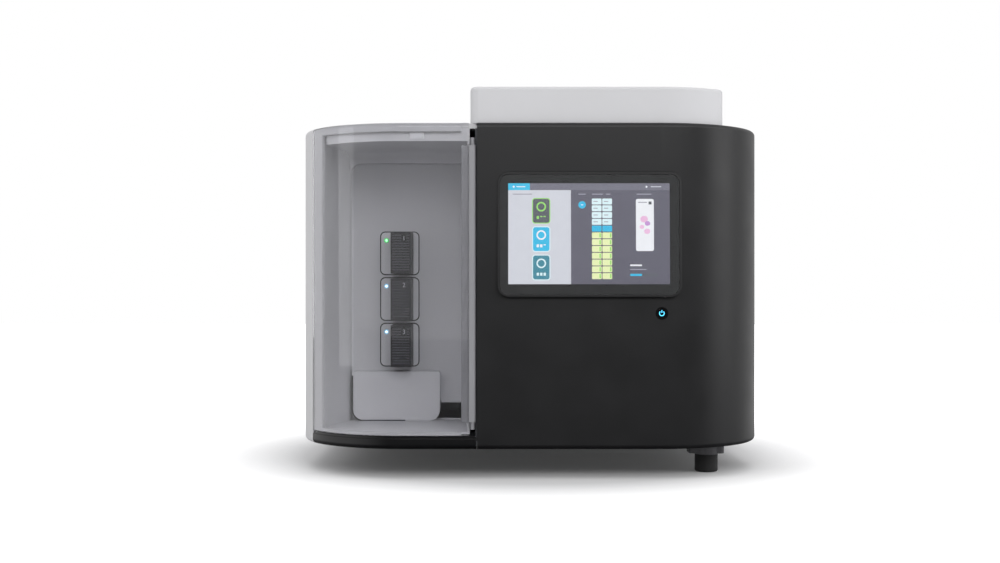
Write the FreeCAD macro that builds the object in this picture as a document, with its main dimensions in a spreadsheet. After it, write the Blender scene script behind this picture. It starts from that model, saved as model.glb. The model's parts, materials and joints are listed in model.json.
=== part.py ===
import FreeCAD, Part
import math
import os
import Sketcher
from types import SimpleNamespace

# Digital slide scanner. Millimetres, +Z up, the front faces -Y, origin on the floor under the middle.

SIZES = {
    # casing
    "cut_margin": 1, "body_width": 646, "body_depth": 600, "body_height": 438.5, "foot_height": 39.5,
    "corner_radius": 150, "rear_radius": 45, "edge_round": 6, "cover_wall": 4, "flange_width": 30,
    "panel_gap": 1.2, "fit_gap": 0.3, "cover_edge_x": -73.6, "cover_side_length": 193,
    "rear_panel_width": 497, "base_thickness": 6.5, "deck_lip": 3, "deck_clear_angle": 1,
    "hood_height": 49.5, "hood_left": -83, "hood_right": 262, "hood_setback": 8, "hood_length": 475,
    "hood_wall": 3, "hood_corner": 12, "hood_round": 5, "deck_hole_left": -50, "deck_hole_width": 260,
    "deck_hole_front": 70, "deck_hole_length": 380,
    # inner frame
    "post_width": 20, "post_inset": 23, "rear_post_inset": 15, "front_post_setback": 8,
    "middle_post_y": -85, "beam_height": 16, "bulkhead_thickness": 2.5, "bulkhead_gap": 0.4,
    "bay_bar_width": 20, "front_bar_y": -240, "back_bar_y": -130, "bay_bar_length": 183,
    # door
    "door_angle": 61, "rim_angle": 51.5, "door_gap": 0.7, "door_wall": 5, "rim_depth": 4,
    "rim_top": 12, "rim_bottom": 4.7, "plinth_height": 17.6, "plinth_step": 2, "plinth_lip": 3.6,
    "hinge_x": -80, "barrel_radius": 4.5, "hinge_pin_radius": 1.5, "pin_clearance": 0.05,
    "ear_height": 9.6, "ear_half_width": 2.8, "lower_ear_z": 66, "upper_ear_z": 448.3,
    "stile_lap": 15, "window_gap": 0.3, "pin_length": 24, "ear_length": 30,
    "catch_inset": 158, "catch_width": 20, "catch_depth": 8, "catch_gap": 0.5,
    # loading bay
    "bay_floor": 62, "bay_ceiling": 454, "bay_depth": 168, "bay_right": -87, "bay_left_back": -262,
    "bay_left_front": -284, "bay_left_setback": 67, "bay_wall_radius": 270, "bay_round": 15,
    "liner_wall": 3, "liner_inset": 11, "band_round": 1, "waste_round": 3,
    "recess_depth": 20, "recess_top": 438, "recess_round": 17,
    "waste_left": -145, "waste_right": -92, "waste_bottom": 64, "waste_top": 87,
    "skirt_left": -259, "skirt_right": -130.6, "skirt_height": 72, "skirt_depth": 23,
    "skirt_round": 16, "skirt_top_round": 3,
    # racks and their ports
    "rack_pitch": 67.3, "rack_middle_z": 239.3, "rack_x": -185.7, "rack_width": 29.4,
    "rack_height": 60, "rack_length": 84, "rack_proud": 50, "slides_per_rack": 20,
    "slot_pitch": 2.85, "slot_height": 1.4, "slot_start": 2.3, "rack_front_wall": 3.5,
    "rib_depth": 1.2, "rib_margin": 2, "notch_width": 22, "notch_depth": 9,
    "slide_width": 26, "slide_length": 76,
    "slide_thickness": 1, "slide_gap": 0.2, "port_left": -219.2, "port_right": -162.5,
    "port_height": 62.7, "port_round": 7, "port_gap": 0.9, "port_ear": 6, "port_ear_height": 48,
    "sleeve_length": 34, "sleeve_wall": 1.7, "light_x": -210.6, "light_rise": 19,
    "light_radius": 1.9, "light_proud": 0.6, "light_length": 9,
    # display
    "bezel_left_margin": 27.2, "bezel_right_margin": 122.8, "bezel_bottom": 244, "bezel_height": 167.5,
    "bezel_round": 15, "display_proud": 7, "bezel_lip": 6, "bezel_flange": 3, "bezel_rim": 3,
    "bezel_rim_round": 12, "glass_thickness": 2, "screen_height": 140,
    "screen_left_margin": 12, "screen_right_margin": 13.6, "screen_bottom": 258.6,
    "screen_depth": 6, "bezel_back": 9,
    # power button
    "button_inset": 149, "button_z": 222, "button_ring_radius": 8.5, "button_ring_length": 10,
    "button_bore": 6.8, "button_radius": 6.5, "button_recess": 1, "button_length": 6,
    "button_travel": 1.5, "button_flange_radius": 12, "button_flange": 2, "stem_radius": 2,
    "stem_clearance": 0.4, "symbol_radius": 4.5, "symbol_thickness": 0.8, "switch_size": 24,
    "switch_length": 12, "switch_round": 2,
    # rear connections and cooling
    "screw_head_height": 3, "screw_head_radius": 3.5, "screw_radius": 2, "screw_length": 9,
    "screw_inset": 14, "screw_low_z": 70, "screw_rise": 130, "inlet_x": -195, "inlet_z": 90,
    "inlet_module_left": -220, "inlet_module_width": 80, "inlet_module_height": 34,
    "inlet_body_height": 28, "inlet_body_inset": 3, "inlet_body_depth": 28, "inlet_width": 24.5,
    "inlet_round": 3, "mouth_round": 1, "mouth_top_round": 4,
    "inlet_height": 17, "inlet_cavity": 16, "inlet_pin_width": 4, "inlet_pin_thickness": 2,
    "inlet_pin_length": 13, "inlet_pin_pitch": 7, "inlet_pin_drop": 4, "rocker_x": -158,
    "rocker_width": 13, "rocker_height": 19.4, "rocker_depth": 6, "rocker_gap": 0.3,
    "rocker_end_gap": 0.9, "rocker_proud": 2.5, "rocker_well": 10, "rocker_pin_radius": 1,
    "rocker_pin_length": 1.5, "socket_left": -128, "socket_pitch": 22, "socket_width": 16,
    "socket_height": 14, "socket_depth": 20, "socket_mouth": 12, "socket_mouth_height": 8,
    "socket_mouth_depth": 12, "fan_size": 92, "fan_depth": 25, "fan_left_x": 60,
    "fan_pitch": 110, "fan_z": 330, "fan_bore": 43.5, "fan_blade_radius": 41, "fan_hub_radius": 18,
    "fan_hub_gap": 0.8, "fan_motor_depth": 6, "fan_motor_radius": 17, "fan_shaft_radius": 2,
    "fan_strut": 5, "fan_blades": 7, "fan_round": 5, "fan_play": 1, "fan_shaft_end": 2,
    "blade_setback": 1.5, "blade_shortfall": 2, "blade_thickness": 2, "blade_pitch": 35, "vent_width": 76,
    "vent_height": 4, "vent_pitch": 9, "vent_rows": 9, "low_vent_x": -20, "low_vent_z": 80,
    "low_vent_width": 240, "low_vent_rows": 6,
    # feet
    "foot_radius": 16, "pad_height": 24.5, "pad_round": 3, "collar_radius": 16.2, "foot_plate_rise": 1,
    "foot_plate_width": 49, "foot_plate_front": 9, "foot_plate_round": 6, "boss_radius": 12,
    "front_foot_x": 245,
    "front_foot_setback": 80, "left_foot_x": -250, "left_foot_y": 90, "rear_foot_inset": 47,
    # scanning unit
    "optics_left": -40, "optics_width": 320, "optics_front": -60, "optics_length": 300,
    "optics_thickness": 25, "optics_round": 20, "isolator_radius": 15, "isolator_height": 12,
    "isolator_inset": 32, "optic_x": 60, "optic_y": 60, "column_width": 80, "column_depth": 70,
    "column_height": 353, "column_setback": 90, "column_round": 4, "camera_round": 6,
    "clamp_half_width": 25, "clamp_height": 20,
    "clamp_low_z": 305, "clamp_high_z": 390, "tube_radius": 20, "tube_bottom": 246,
    "camera_z": 440, "camera_width": 64, "camera_height": 74, "rail_width": 12,
    "rail_height": 10, "rail_length": 210, "stage_rail_offset": 60, "focus_rail_bottom": 190,
    "focus_rail_height": 110, "focus_rail_width": 16, "focus_bottom": 197, "focus_height": 96,
    "focus_width": 60, "focus_depth": 22, "focus_arm_z": 215, "focus_arm_height": 20,
    "focus_arm_half_width": 20, "objective_radius": 14, "objective_tip_radius": 5,
    "objective_tip_z": 158, "objective_cone": 22, "objective_flange_radius": 17,
    "objective_flange": 4, "lamp_radius": 18, "lamp_height": 38, "lamp_cone": 12,
    "lamp_lens_radius": 10, "stage_block_length": 80, "stage_block_width": 26,
    "stage_y_z": 127, "stage_plate": 10, "stage_y_width": 220, "stage_y_length": 100,
    "stage_rail_y": 40, "stage_x_rail_width": 8, "stage_x_rail_height": 6, "stage_x_width": 100,
    "stage_x_length": 96, "stage_x_plate": 6, "stage_x_lift": 8, "stage_x_block": 16,
    "aperture_width": 60, "aperture_length": 20, "stage_round": 6,
    "aperture_round": 5, "holder_round": 4, "holder_window_round": 2, "holder_depth": 1, "holder_gap": 0.4,
    # rack lift and gripper
    "pivot_y": 60, "tower_y": 165, "tower_thickness": 10, "tower_width": 90, "tower_top": 451,
    "lift_rail_offset": 26, "lift_rail_width": 10, "lift_rail_depth": 10, "lift_rail_bottom": 70,
    "screw_y": 143, "lift_screw_radius": 5, "lift_screw_bottom": 86, "lift_screw_top": 447,
    "motor_width": 42, "motor_height": 45, "motor_round": 4, "lift_bearing_height": 11,
    "lift_bearing_width": 24,
    "lift_block_width": 80, "lift_block_height": 40, "lift_block_front": 128, "level_slide": 10,
    "lift_arm_width": 50, "lift_arm_height": 8, "lift_arm_front": 32, "turret_radius": 24,
    "turret_height": 10, "guide_width": 24, "guide_height": 7, "guide_back": 36,
    "guide_front": 32, "guide_groove": 3, "arm_width": 12, "arm_height": 9, "arm_back": 50,
    "arm_front": 40, "finger_length": 12, "finger_width": 20, "finger_gap": 1.6,
    "finger_thickness": 0.8,
    # electronics
    "supply_left": -268, "supply_width": 160, "supply_setback": 41, "supply_gap": 15,
    "supply_height": 80, "supply_round": 3, "board_left": -230, "board_width": 180,
    "board_bottom": 200, "board_height": 190, "board_thickness": 1.6, "standoff_length": 8,
    "standoff_radius": 4, "standoff_inset": 10, "chip_width": 40, "chip_height": 14,
}


class Size:
    """A length or an angle: its value, and the formula that the document keeps for it."""

    def __init__(self, value, text):
        self.value = float(value)
        self.text = text

    def __add__(self, other):
        other = as_size(other)
        return Size(self.value + other.value, f"({self.text} + {other.text})")

    def __sub__(self, other):
        other = as_size(other)
        return Size(self.value - other.value, f"({self.text} - {other.text})")

    def __mul__(self, other):
        other = as_size(other)
        return Size(self.value * other.value, f"({self.text} * {other.text})")

    def __truediv__(self, other):
        other = as_size(other)
        return Size(self.value / other.value, f"({self.text} / {other.text})")

    def __neg__(self):
        return Size(-self.value, f"(0 - {self.text})")

    def __radd__(self, other):
        return as_size(other) + self

    def __rsub__(self, other):
        return as_size(other) - self

    def __rmul__(self, other):
        return as_size(other) * self

    def __rtruediv__(self, other):
        return as_size(other) / self


def as_size(amount):
    """A plain number as a Size; a Size stays as it is."""
    if isinstance(amount, Size):
        return amount
    return Size(amount, f"({amount})")


def sine(angle):
    return Size(math.sin(math.radians(angle.value)), f"sin({angle.text})")


def cosine(angle):
    return Size(math.cos(math.radians(angle.value)), f"cos({angle.text})")


def root(amount):
    return Size(math.sqrt(amount.value), f"sqrt({amount.text})")


def larger(first, second):
    return Size(max(first.value, second.value), f"max({first.text}; {second.text})")


def slope_angle(ratio):
    """The angle whose tangent is ratio, in degrees."""
    return Size(math.degrees(math.atan(ratio.value)), f"(atan({ratio.text}) / 1deg)")


DOC = FreeCAD.newDocument("slide_scanner")
V = FreeCAD.Vector
PARTS = []


def make_sheet():
    """Writes the driving sizes into the document's spreadsheet."""
    sheet = DOC.addObject("Spreadsheet::Sheet", "size")
    for row, (name, value) in enumerate(SIZES.items(), start=1):
        sheet.set(f"A{row}", name.replace("_", " "))
        sheet.set(f"B{row}", str(value))
        sheet.setAlias(f"B{row}", name)
    DOC.recompute()
    return SimpleNamespace(**{name: Size(value, f"size.{name}") for name, value in SIZES.items()})


size = make_sheet()

# places that several pieces share
PAST = size.cut_margin
FRONT = size.display_proud - size.body_depth / 2
REAR = size.body_depth / 2 - size.screw_head_height
LEFT = -size.body_width / 2
RIGHT = size.body_width / 2
BOTTOM = size.foot_height
TOP = size.foot_height + size.body_height
INNER_BOTTOM = BOTTOM + size.cover_wall
BASE_TOP = INNER_BOTTOM + size.base_thickness
DECK_UNDER = TOP - size.cover_wall - size.deck_lip
ARC_X = LEFT + size.corner_radius
ARC_Y = FRONT + size.corner_radius
PLINTH_TOP = BOTTOM + size.plinth_height
DOOR_BOTTOM = PLINTH_TOP + size.door_gap
DOOR_DEPTH = size.door_wall + size.rim_depth
HINGE_Y = FRONT + size.barrel_radius
BULKHEAD_LEFT = size.cover_edge_x - size.bulkhead_gap - size.bulkhead_thickness
BAY_BACK = FRONT + size.bay_depth
RACK_WALL = BAY_BACK + size.recess_depth
AHEAD = FRONT - size.flange_width
BUTTON_X = RIGHT - size.button_inset
REACH = size.body_width + size.body_depth


# ---- building blocks ----

def bind(item, name, amount):
    item.setExpression(name, as_size(amount).text)


def place(item, x, y, z):
    for axis, amount in zip("xyz", (x, y, z)):
        bind(item, "Placement.Base." + axis, amount)


def box(name, x, y, z):
    """A box from its two ends along each axis."""
    item = DOC.addObject("Part::Box", name)
    for side, (low, high) in zip(("Length", "Width", "Height"), (x, y, z)):
        bind(item, side, as_size(high) - low)
    place(item, x[0], y[0], z[0])
    return item


def rod(name, radius, axis, at, ends):
    """A cylinder along an axis; at holds its place on the two other axes."""
    item = DOC.addObject("Part::Cylinder", name)
    bind(item, "Radius", radius)
    bind(item, "Height", as_size(ends[1]) - ends[0])
    if axis == "x":
        item.Placement.Rotation = FreeCAD.Rotation(V(0, 1, 0), 90)
        place(item, ends[0], at[0], at[1])
    elif axis == "y":
        item.Placement.Rotation = FreeCAD.Rotation(V(1, 0, 0), -90)
        place(item, at[0], ends[0], at[1])
    else:
        place(item, at[0], at[1], ends[0])
    return item


def fuse(name, *items):
    result = DOC.addObject("Part::MultiFuse", name)
    result.Shapes = list(items)
    result.Refine = True
    return result


def common(name, *items):
    result = DOC.addObject("Part::MultiCommon", name)
    result.Shapes = list(items)
    return result


def cut(name, base, *tools):
    result = DOC.addObject("Part::Cut", name)
    result.Base = base
    result.Tool = tools[0] if len(tools) == 1 else fuse(name + "_tools", *tools)
    return result


def group(name, *items):
    """Separate solids of one kind, kept as one sub-part."""
    result = DOC.addObject("Part::Compound", name)
    result.Links = list(items)
    return result


def part(name, item):
    """Names a finished sub-part."""
    item.Label = name
    PARTS.append(item)
    return item


PLANES = {"z": "XY_Plane", "y": "XZ_Plane", "x": "YZ_Plane"}


def new_sketch(body, axis, name):
    """A sketch on the body's own plane across an axis."""
    sketch = body.newObject("Sketcher::SketchObject", name)
    plane = next(item for item in body.Origin.OriginFeatures if item.Role == PLANES[axis])
    sketch.AttachmentSupport = (plane, [""])
    sketch.MapMode = "FlatFace"
    return sketch


def hold(sketch, name, amount, *constraint):
    """Adds a dimension to a sketch and ties it to a size."""
    index = sketch.addConstraint(Sketcher.Constraint(*constraint, as_size(amount).value))
    sketch.renameConstraint(index, name)
    bind(sketch, "Constraints." + name, amount)


def draw_rectangle(sketch, width, height, radii):
    """A rectangle from the sketch's origin; radii: lower left, lower right, upper right, upper left."""
    wide, high = as_size(width).value, as_size(height).value
    r = [as_size(radius).value if radius is not None else 0 for radius in radii]
    corners = [V(0, 0), V(wide, 0), V(wide, high), V(0, high)]
    along = [V(1, 0), V(0, 1), V(-1, 0), V(0, -1)]
    for side in range(4):
        start = corners[side] + along[side] * r[side]
        end = corners[(side + 1) % 4] - along[side] * r[(side + 1) % 4]
        sketch.addGeometry(Part.LineSegment(start, end), False)
    directions = ("Horizontal", "Vertical", "Horizontal", "Vertical")
    for side, direction in enumerate(directions):
        sketch.addConstraint(Sketcher.Constraint(direction, side))
    for corner, radius in enumerate(radii):
        before = (corner + 3) % 4
        if radius is None:
            sketch.addConstraint(Sketcher.Constraint("Coincident", before, 2, corner, 1))
            continue
        centre = corners[corner] + (along[corner] - along[before]) * r[corner]
        begin = math.radians(180 + 90 * corner)
        circle = Part.Circle(centre, V(0, 0, 1), r[corner])
        arc = sketch.addGeometry(Part.ArcOfCircle(circle, begin, begin + math.pi / 2), False)
        sketch.addConstraint(Sketcher.Constraint("Tangent", before, 2, arc, 1))
        sketch.addConstraint(Sketcher.Constraint("Tangent", arc, 2, corner, 1))
        hold(sketch, f"radius_{corner}", radius, "Radius", arc)
    sketch.addConstraint(Sketcher.Constraint("PointOnObject", 0, 1, -1))
    sketch.addConstraint(Sketcher.Constraint("PointOnObject", 3, 1, -2))
    hold(sketch, "width", width, "DistanceX", 3, 1, 1, 1)
    hold(sketch, "height", height, "DistanceY", 0, 1, 2, 1)


def slab(name, x, y, z, axis, radii):
    """A rounded rectangle that is padded along an axis, as a body of its own."""
    body = DOC.addObject("PartDesign::Body", name)
    sketch = new_sketch(body, axis, name + "_sketch")
    spans = {"x": x, "y": y, "z": z}
    across = [as_size(spans[other][1]) - spans[other][0] for other in "xyz" if other != axis]
    if not isinstance(radii, (list, tuple)):
        radii = [radii] * 4
    draw_rectangle(sketch, across[0], across[1], radii)
    pad = body.newObject("PartDesign::Pad", name + "_pad")
    pad.Profile = sketch
    pad.Reversed = axis == "y"
    bind(pad, "Length", as_size(spans[axis][1]) - spans[axis][0])
    body.Tip = pad
    place(body, x[0], y[0], z[0])
    return body


def draw_outline(sketch, points, arcs=None):
    """A closed outline through points; arcs gives the signed radius of the side after a point."""
    arcs = arcs or {}
    spots = [V(as_size(x).value, as_size(y).value) for x, y in points]
    count = len(points)
    for index, start in enumerate(spots):
        end = spots[(index + 1) % count]
        if index not in arcs:
            sketch.addGeometry(Part.LineSegment(start, end), False)
            continue
        radius = arcs[index].value
        chord = end - start
        across = V(chord.y, -chord.x) * (1 / chord.Length)
        rise = abs(radius) - math.sqrt(radius * radius - chord.Length ** 2 / 4)
        middle = (start + end) * 0.5 + across * math.copysign(rise, radius)
        sketch.addGeometry(Part.Arc(start, middle, end), False)
    for index in range(count):
        after = (index + 1) % count
        ends = [2 if index not in arcs or arcs[index].value > 0 else 1]
        ends.append(1 if after not in arcs or arcs[after].value > 0 else 2)
        sketch.addConstraint(Sketcher.Constraint("Coincident", index, ends[0], after, ends[1]))
        if index in arcs:
            radius = arcs[index] if arcs[index].value > 0 else -arcs[index]
            hold(sketch, f"radius_{index}", radius, "Radius", index)
        start = 1 if index not in arcs or arcs[index].value > 0 else 2
        for axis, kind, line in ((0, "DistanceX", -2), (1, "DistanceY", -1)):
            amount = points[index][axis]
            if isinstance(amount, int) and amount == 0:
                sketch.addConstraint(Sketcher.Constraint("PointOnObject", index, start, line))
            else:
                hold(sketch, f"{'xy'[axis]}_{index}", amount, kind, -1, 1, index, start)


def outline(name, axis, ends, points, arcs=None):
    """A closed outline that is padded along an axis between its two ends."""
    body = DOC.addObject("PartDesign::Body", name)
    sketch = new_sketch(body, axis, name + "_sketch")
    draw_outline(sketch, points, arcs)
    pad = body.newObject("PartDesign::Pad", name + "_pad")
    pad.Profile = sketch
    pad.Reversed = axis == "y"
    bind(pad, "Length", as_size(ends[1]) - ends[0])
    body.Tip = pad
    bind(body, "Placement.Base." + axis, ends[0])
    return body


def turned(name, x, y, z, profile):
    """A piece turned on a lathe: profile holds radius and height pairs around a vertical axis."""
    body = DOC.addObject("PartDesign::Body", name)
    sketch = new_sketch(body, "y", name + "_sketch")
    draw_outline(sketch, profile)
    turn = body.newObject("PartDesign::Revolution", name + "_turn")
    turn.Profile = sketch
    turn.ReferenceAxis = (sketch, ["V_Axis"])
    turn.Angle = 360
    body.Tip = turn
    place(body, x, y, z)
    return body


def round_edges(body, wanted, radius):
    """Rounds the edges of a body's last feature that wanted picks by their bounding box."""
    DOC.recompute()
    last = body.Tip
    whole = last.Shape.BoundBox
    edges = last.Shape.Edges
    names = [f"Edge{i}" for i, edge in enumerate(edges, start=1) if wanted(edge.BoundBox, whole)]
    fillet = body.newObject("PartDesign::Fillet", last.Name + "_round")
    fillet.Base = (last, names)
    bind(fillet, "Radius", radius)
    body.Tip = fillet
    return fillet


NEAR = 1e-4


def at_top(edge, whole):
    return edge.ZMin > whole.ZMax - NEAR


def at_bottom(edge, whole):
    return edge.ZMax < whole.ZMin + NEAR


def repeat(body, feature, sketch, pitch, count):
    """Repeats a feature up the sketch's vertical axis."""
    pattern = body.newObject("PartDesign::LinearPattern", feature.Name + "_row")
    pattern.Originals = [feature]
    pattern.Direction = (sketch, ["V_Axis"])
    bind(pattern, "Length", pitch * (count - 1))
    bind(pattern, "Occurrences", count)
    body.Tip = pattern
    return pattern


def row_of_boxes(name, x, y, z, pitch, count):
    """Equal boxes one above another, as one body of separate solids."""
    body = slab(name, x, y, z, "y", [None] * 4)
    body.AllowCompound = True
    pad = body.Tip
    sketch = pad.Profile[0]
    DOC.recompute()
    repeat(body, pad, sketch, pitch, count)
    return body


# ---- casing ----

def plan_slab(name, inset, low, high):
    """The scanner's plan shape, drawn in by inset, between two heights."""
    front = size.corner_radius - inset
    rear = size.rear_radius - inset
    x = (LEFT + inset, RIGHT - inset)
    return slab(name, x, (FRONT + inset, REAR - inset), (low, high), "z", [front, front, rear, rear])


def door_side(name, angle, low, high):
    """The half space on the door's side of a line from the left corner's centre, at an angle."""
    item = DOC.addObject("Part::Box", name)
    bind(item, "Length", 2 * REACH)
    bind(item, "Width", REACH)
    bind(item, "Height", high - low)
    item.Placement.Rotation = FreeCAD.Rotation(V(0, 0, 1), 10)
    bind(item, "Placement.Rotation.Angle", 270 - angle)
    place(item, ARC_X + REACH * sine(angle), ARC_Y + REACH * cosine(angle), low)
    return item


def build_casing():
    """The covers: four pieces of one ring that has a wall and a flange at its top and bottom."""
    outer = plan_slab("casing_outer", as_size(0), BOTTOM, TOP)
    round_edges(outer, lambda edge, whole: at_top(edge, whole) or at_bottom(edge, whole), size.edge_round)
    inner = plan_slab("casing_inner", size.cover_wall, INNER_BOTTOM, TOP - size.cover_wall)
    core = plan_slab("casing_core", size.flange_width, BOTTOM - PAST, TOP + PAST)
    ring = cut("casing_ring", outer, inner, core)
    tall = (BOTTOM - PAST, TOP + PAST)
    cover_back = FRONT + size.cover_side_length
    panel_edge = size.rear_panel_width / 2

    front_zone = box("front_zone", (size.cover_edge_x, RIGHT + PAST), (FRONT - PAST, cover_back), tall)
    front_ring = common("front_ring", ring, front_zone)
    window_right = bezel_right() + size.fit_gap
    window = slab("bezel_window", (bezel_left() - size.fit_gap, window_right),
                  (FRONT - PAST, FRONT + size.cover_wall + front_sag(window_right) + PAST),
                  (size.bezel_bottom - size.fit_gap, bezel_top() + size.fit_gap), "y",
                  size.bezel_round + size.fit_gap)
    button_hole = rod("button_hole", size.button_ring_radius + size.pin_clearance, "y",
                      (BUTTON_X, size.button_z), (FRONT - PAST, FRONT + 2 * size.cover_wall))
    part("front_cover", cut("front_cover_cut", front_ring, window, button_hole))

    left_zone = box("left_zone", (LEFT - PAST, -panel_edge), (FRONT - PAST, REAR + PAST), tall)
    left_ring = common("left_ring", ring, left_zone)
    seam = size.panel_gap / size.corner_radius * 180 / math.pi
    door_space = door_side("housing_seam", size.door_angle + seam, *tall)
    part("left_housing", cut("left_housing_cut", left_ring, door_space))

    right_zone = box("right_zone", (panel_edge, RIGHT + PAST),
                     (cover_back + size.panel_gap, REAR + PAST), tall)
    part("right_panel", common("right_panel_common", ring, right_zone))

    trim_zone = box("trim_zone", (LEFT - PAST, size.cover_edge_x - size.panel_gap), (FRONT - PAST, ARC_Y),
                    (BOTTOM - PAST, PLINTH_TOP))
    trim_side = door_side("trim_side", size.door_angle, BOTTOM - PAST, PLINTH_TOP)
    trim = common("trim_ring", ring, trim_zone, trim_side)
    step_low = PLINTH_TOP - size.plinth_lip
    step_outer = plan_slab("step_outer", -PAST, step_low, PLINTH_TOP + PAST)
    step_inner = plan_slab("step_inner", size.plinth_step, step_low - PAST, PLINTH_TOP + 2 * PAST)
    part("base_trim", cut("base_trim_cut", trim, cut("plinth_step", step_outer, step_inner)))
    return outer, ring


def build_rear_panel(ring):
    """The rear wall, with its grilles and the holes for what is fixed in it."""
    edge = size.rear_panel_width / 2 - size.panel_gap
    zone = box("rear_zone", (-edge, edge), (ARC_Y, REAR + PAST), (BOTTOM - PAST, TOP + PAST))
    through = (REAR - size.cover_wall - PAST, REAR + PAST)
    holes = []
    fan_low = size.fan_z - size.vent_pitch * (size.vent_rows - 1) / 2 - size.vent_height / 2
    for number, x in enumerate(fan_places(), start=1):
        sides = (x - size.vent_width / 2, x + size.vent_width / 2)
        low = (fan_low, fan_low + size.vent_height)
        holes.append(row_of_boxes(f"fan_grille_{number}", sides, through, low, size.vent_pitch,
                                  size.vent_rows))
    sides = (size.low_vent_x, size.low_vent_x + size.low_vent_width)
    low = (size.low_vent_z, size.low_vent_z + size.vent_height)
    holes.append(row_of_boxes("low_grille", sides, through, low, size.vent_pitch, size.low_vent_rows))
    gap = size.fit_gap
    x, z = inlet_body()
    holes.append(box("inlet_hole", (x[0] - gap, x[1] + gap), through, (z[0] - gap, z[1] + gap)))
    for number in range(2):
        x, z = socket_body(number)
        holes.append(box(f"socket_hole_{number + 1}", (x[0] - gap, x[1] + gap), through,
                         (z[0] - gap, z[1] + gap)))
    for number, place_xz in enumerate(screw_places(), start=1):
        holes.append(rod(f"screw_hole_{number}", size.screw_radius + size.pin_clearance, "y",
                         place_xz, through))
    part("rear_panel", cut("rear_panel_cut", common("rear_ring", ring, zone), *holes))


def build_top_deck():
    """The lid of the casing: it sits under the covers' flanges and fills the space between them."""
    gap = size.fit_gap
    under = plan_slab("deck_under", size.cover_wall + gap, DECK_UNDER, TOP - size.cover_wall)
    upper = plan_slab("deck_upper", size.flange_width + gap, DECK_UNDER, TOP)
    inset = DOOR_DEPTH + size.liner_wall
    front_zone = box("deck_front_zone", (LEFT, size.cover_edge_x - size.panel_gap),
                     (FRONT, ARC_Y), (DECK_UNDER, TOP))
    behind_door = common("deck_behind_door", plan_slab("deck_inset", inset, DECK_UNDER, TOP),
                         front_zone, door_side("deck_side", size.door_angle, DECK_UNDER, TOP))
    door_zone = box("deck_door_zone", (LEFT, size.cover_edge_x - size.panel_gap),
                    (FRONT, ARC_Y), (DECK_UNDER - PAST, TOP + PAST))
    door_zone_side = door_side("deck_door_side", size.door_angle + size.deck_clear_angle,
                               DECK_UNDER - PAST, TOP + PAST)
    margin = cut("deck_door_margin", common("deck_door_space", door_zone, door_zone_side),
                 plan_slab("deck_door_inset", inset, BOTTOM, TOP + 2 * PAST))
    plate = fuse("deck_plate", cut("deck_under_cut", under, margin), upper, behind_door)
    hole = slab("deck_hole", (size.deck_hole_left, size.deck_hole_left + size.deck_hole_width),
                (FRONT + size.deck_hole_front, FRONT + size.deck_hole_front + size.deck_hole_length),
                (DECK_UNDER - PAST, TOP + PAST), "z", size.hood_corner)
    part("top_deck", cut("top_deck_cut", plate, hole))


def hood_outline(inset):
    """The hood's plan: straight at the front, then along the casing's round corner."""
    radius = size.corner_radius - size.hood_setback - inset
    right = size.hood_right - inset
    arc_x = RIGHT - size.corner_radius
    side_y = ARC_Y - root(radius * radius - (right - arc_x) * (right - arc_x))
    front = FRONT + size.hood_setback + inset
    back = FRONT + size.hood_setback + size.hood_length - inset
    left = size.hood_left + inset
    points = [(left, front), (arc_x, front), (right, side_y), (right, back), (left, back)]
    return points, {1: radius}


def build_hood():
    """The raised hood over the camera: a shell that is open below."""
    points, arcs = hood_outline(as_size(0))
    outer = outline("hood_outer", "z", (TOP, TOP + size.hood_height), points, arcs)
    arc_x = (RIGHT - size.corner_radius).value

    def corner(edge, whole):
        upright = edge.ZLength > NEAR and edge.XLength < NEAR and edge.YLength < NEAR
        return upright and abs(edge.XMin - arc_x) > NEAR
    round_edges(outer, corner, size.hood_corner)
    round_edges(outer, at_top, size.hood_round)
    points, arcs = hood_outline(size.hood_wall)
    inner = outline("hood_inner", "z", (TOP - PAST, TOP + size.hood_height - size.hood_wall), points, arcs)
    round_edges(inner, corner, size.hood_corner - size.hood_wall)
    part("top_hood", cut("top_hood_cut", outer, inner))


def build_base():
    """The base plate, which carries everything, and the frame that stands on it."""
    part("base_plate", plan_slab("base_slab", size.cover_wall + size.fit_gap, INNER_BOTTOM, BASE_TOP))


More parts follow.
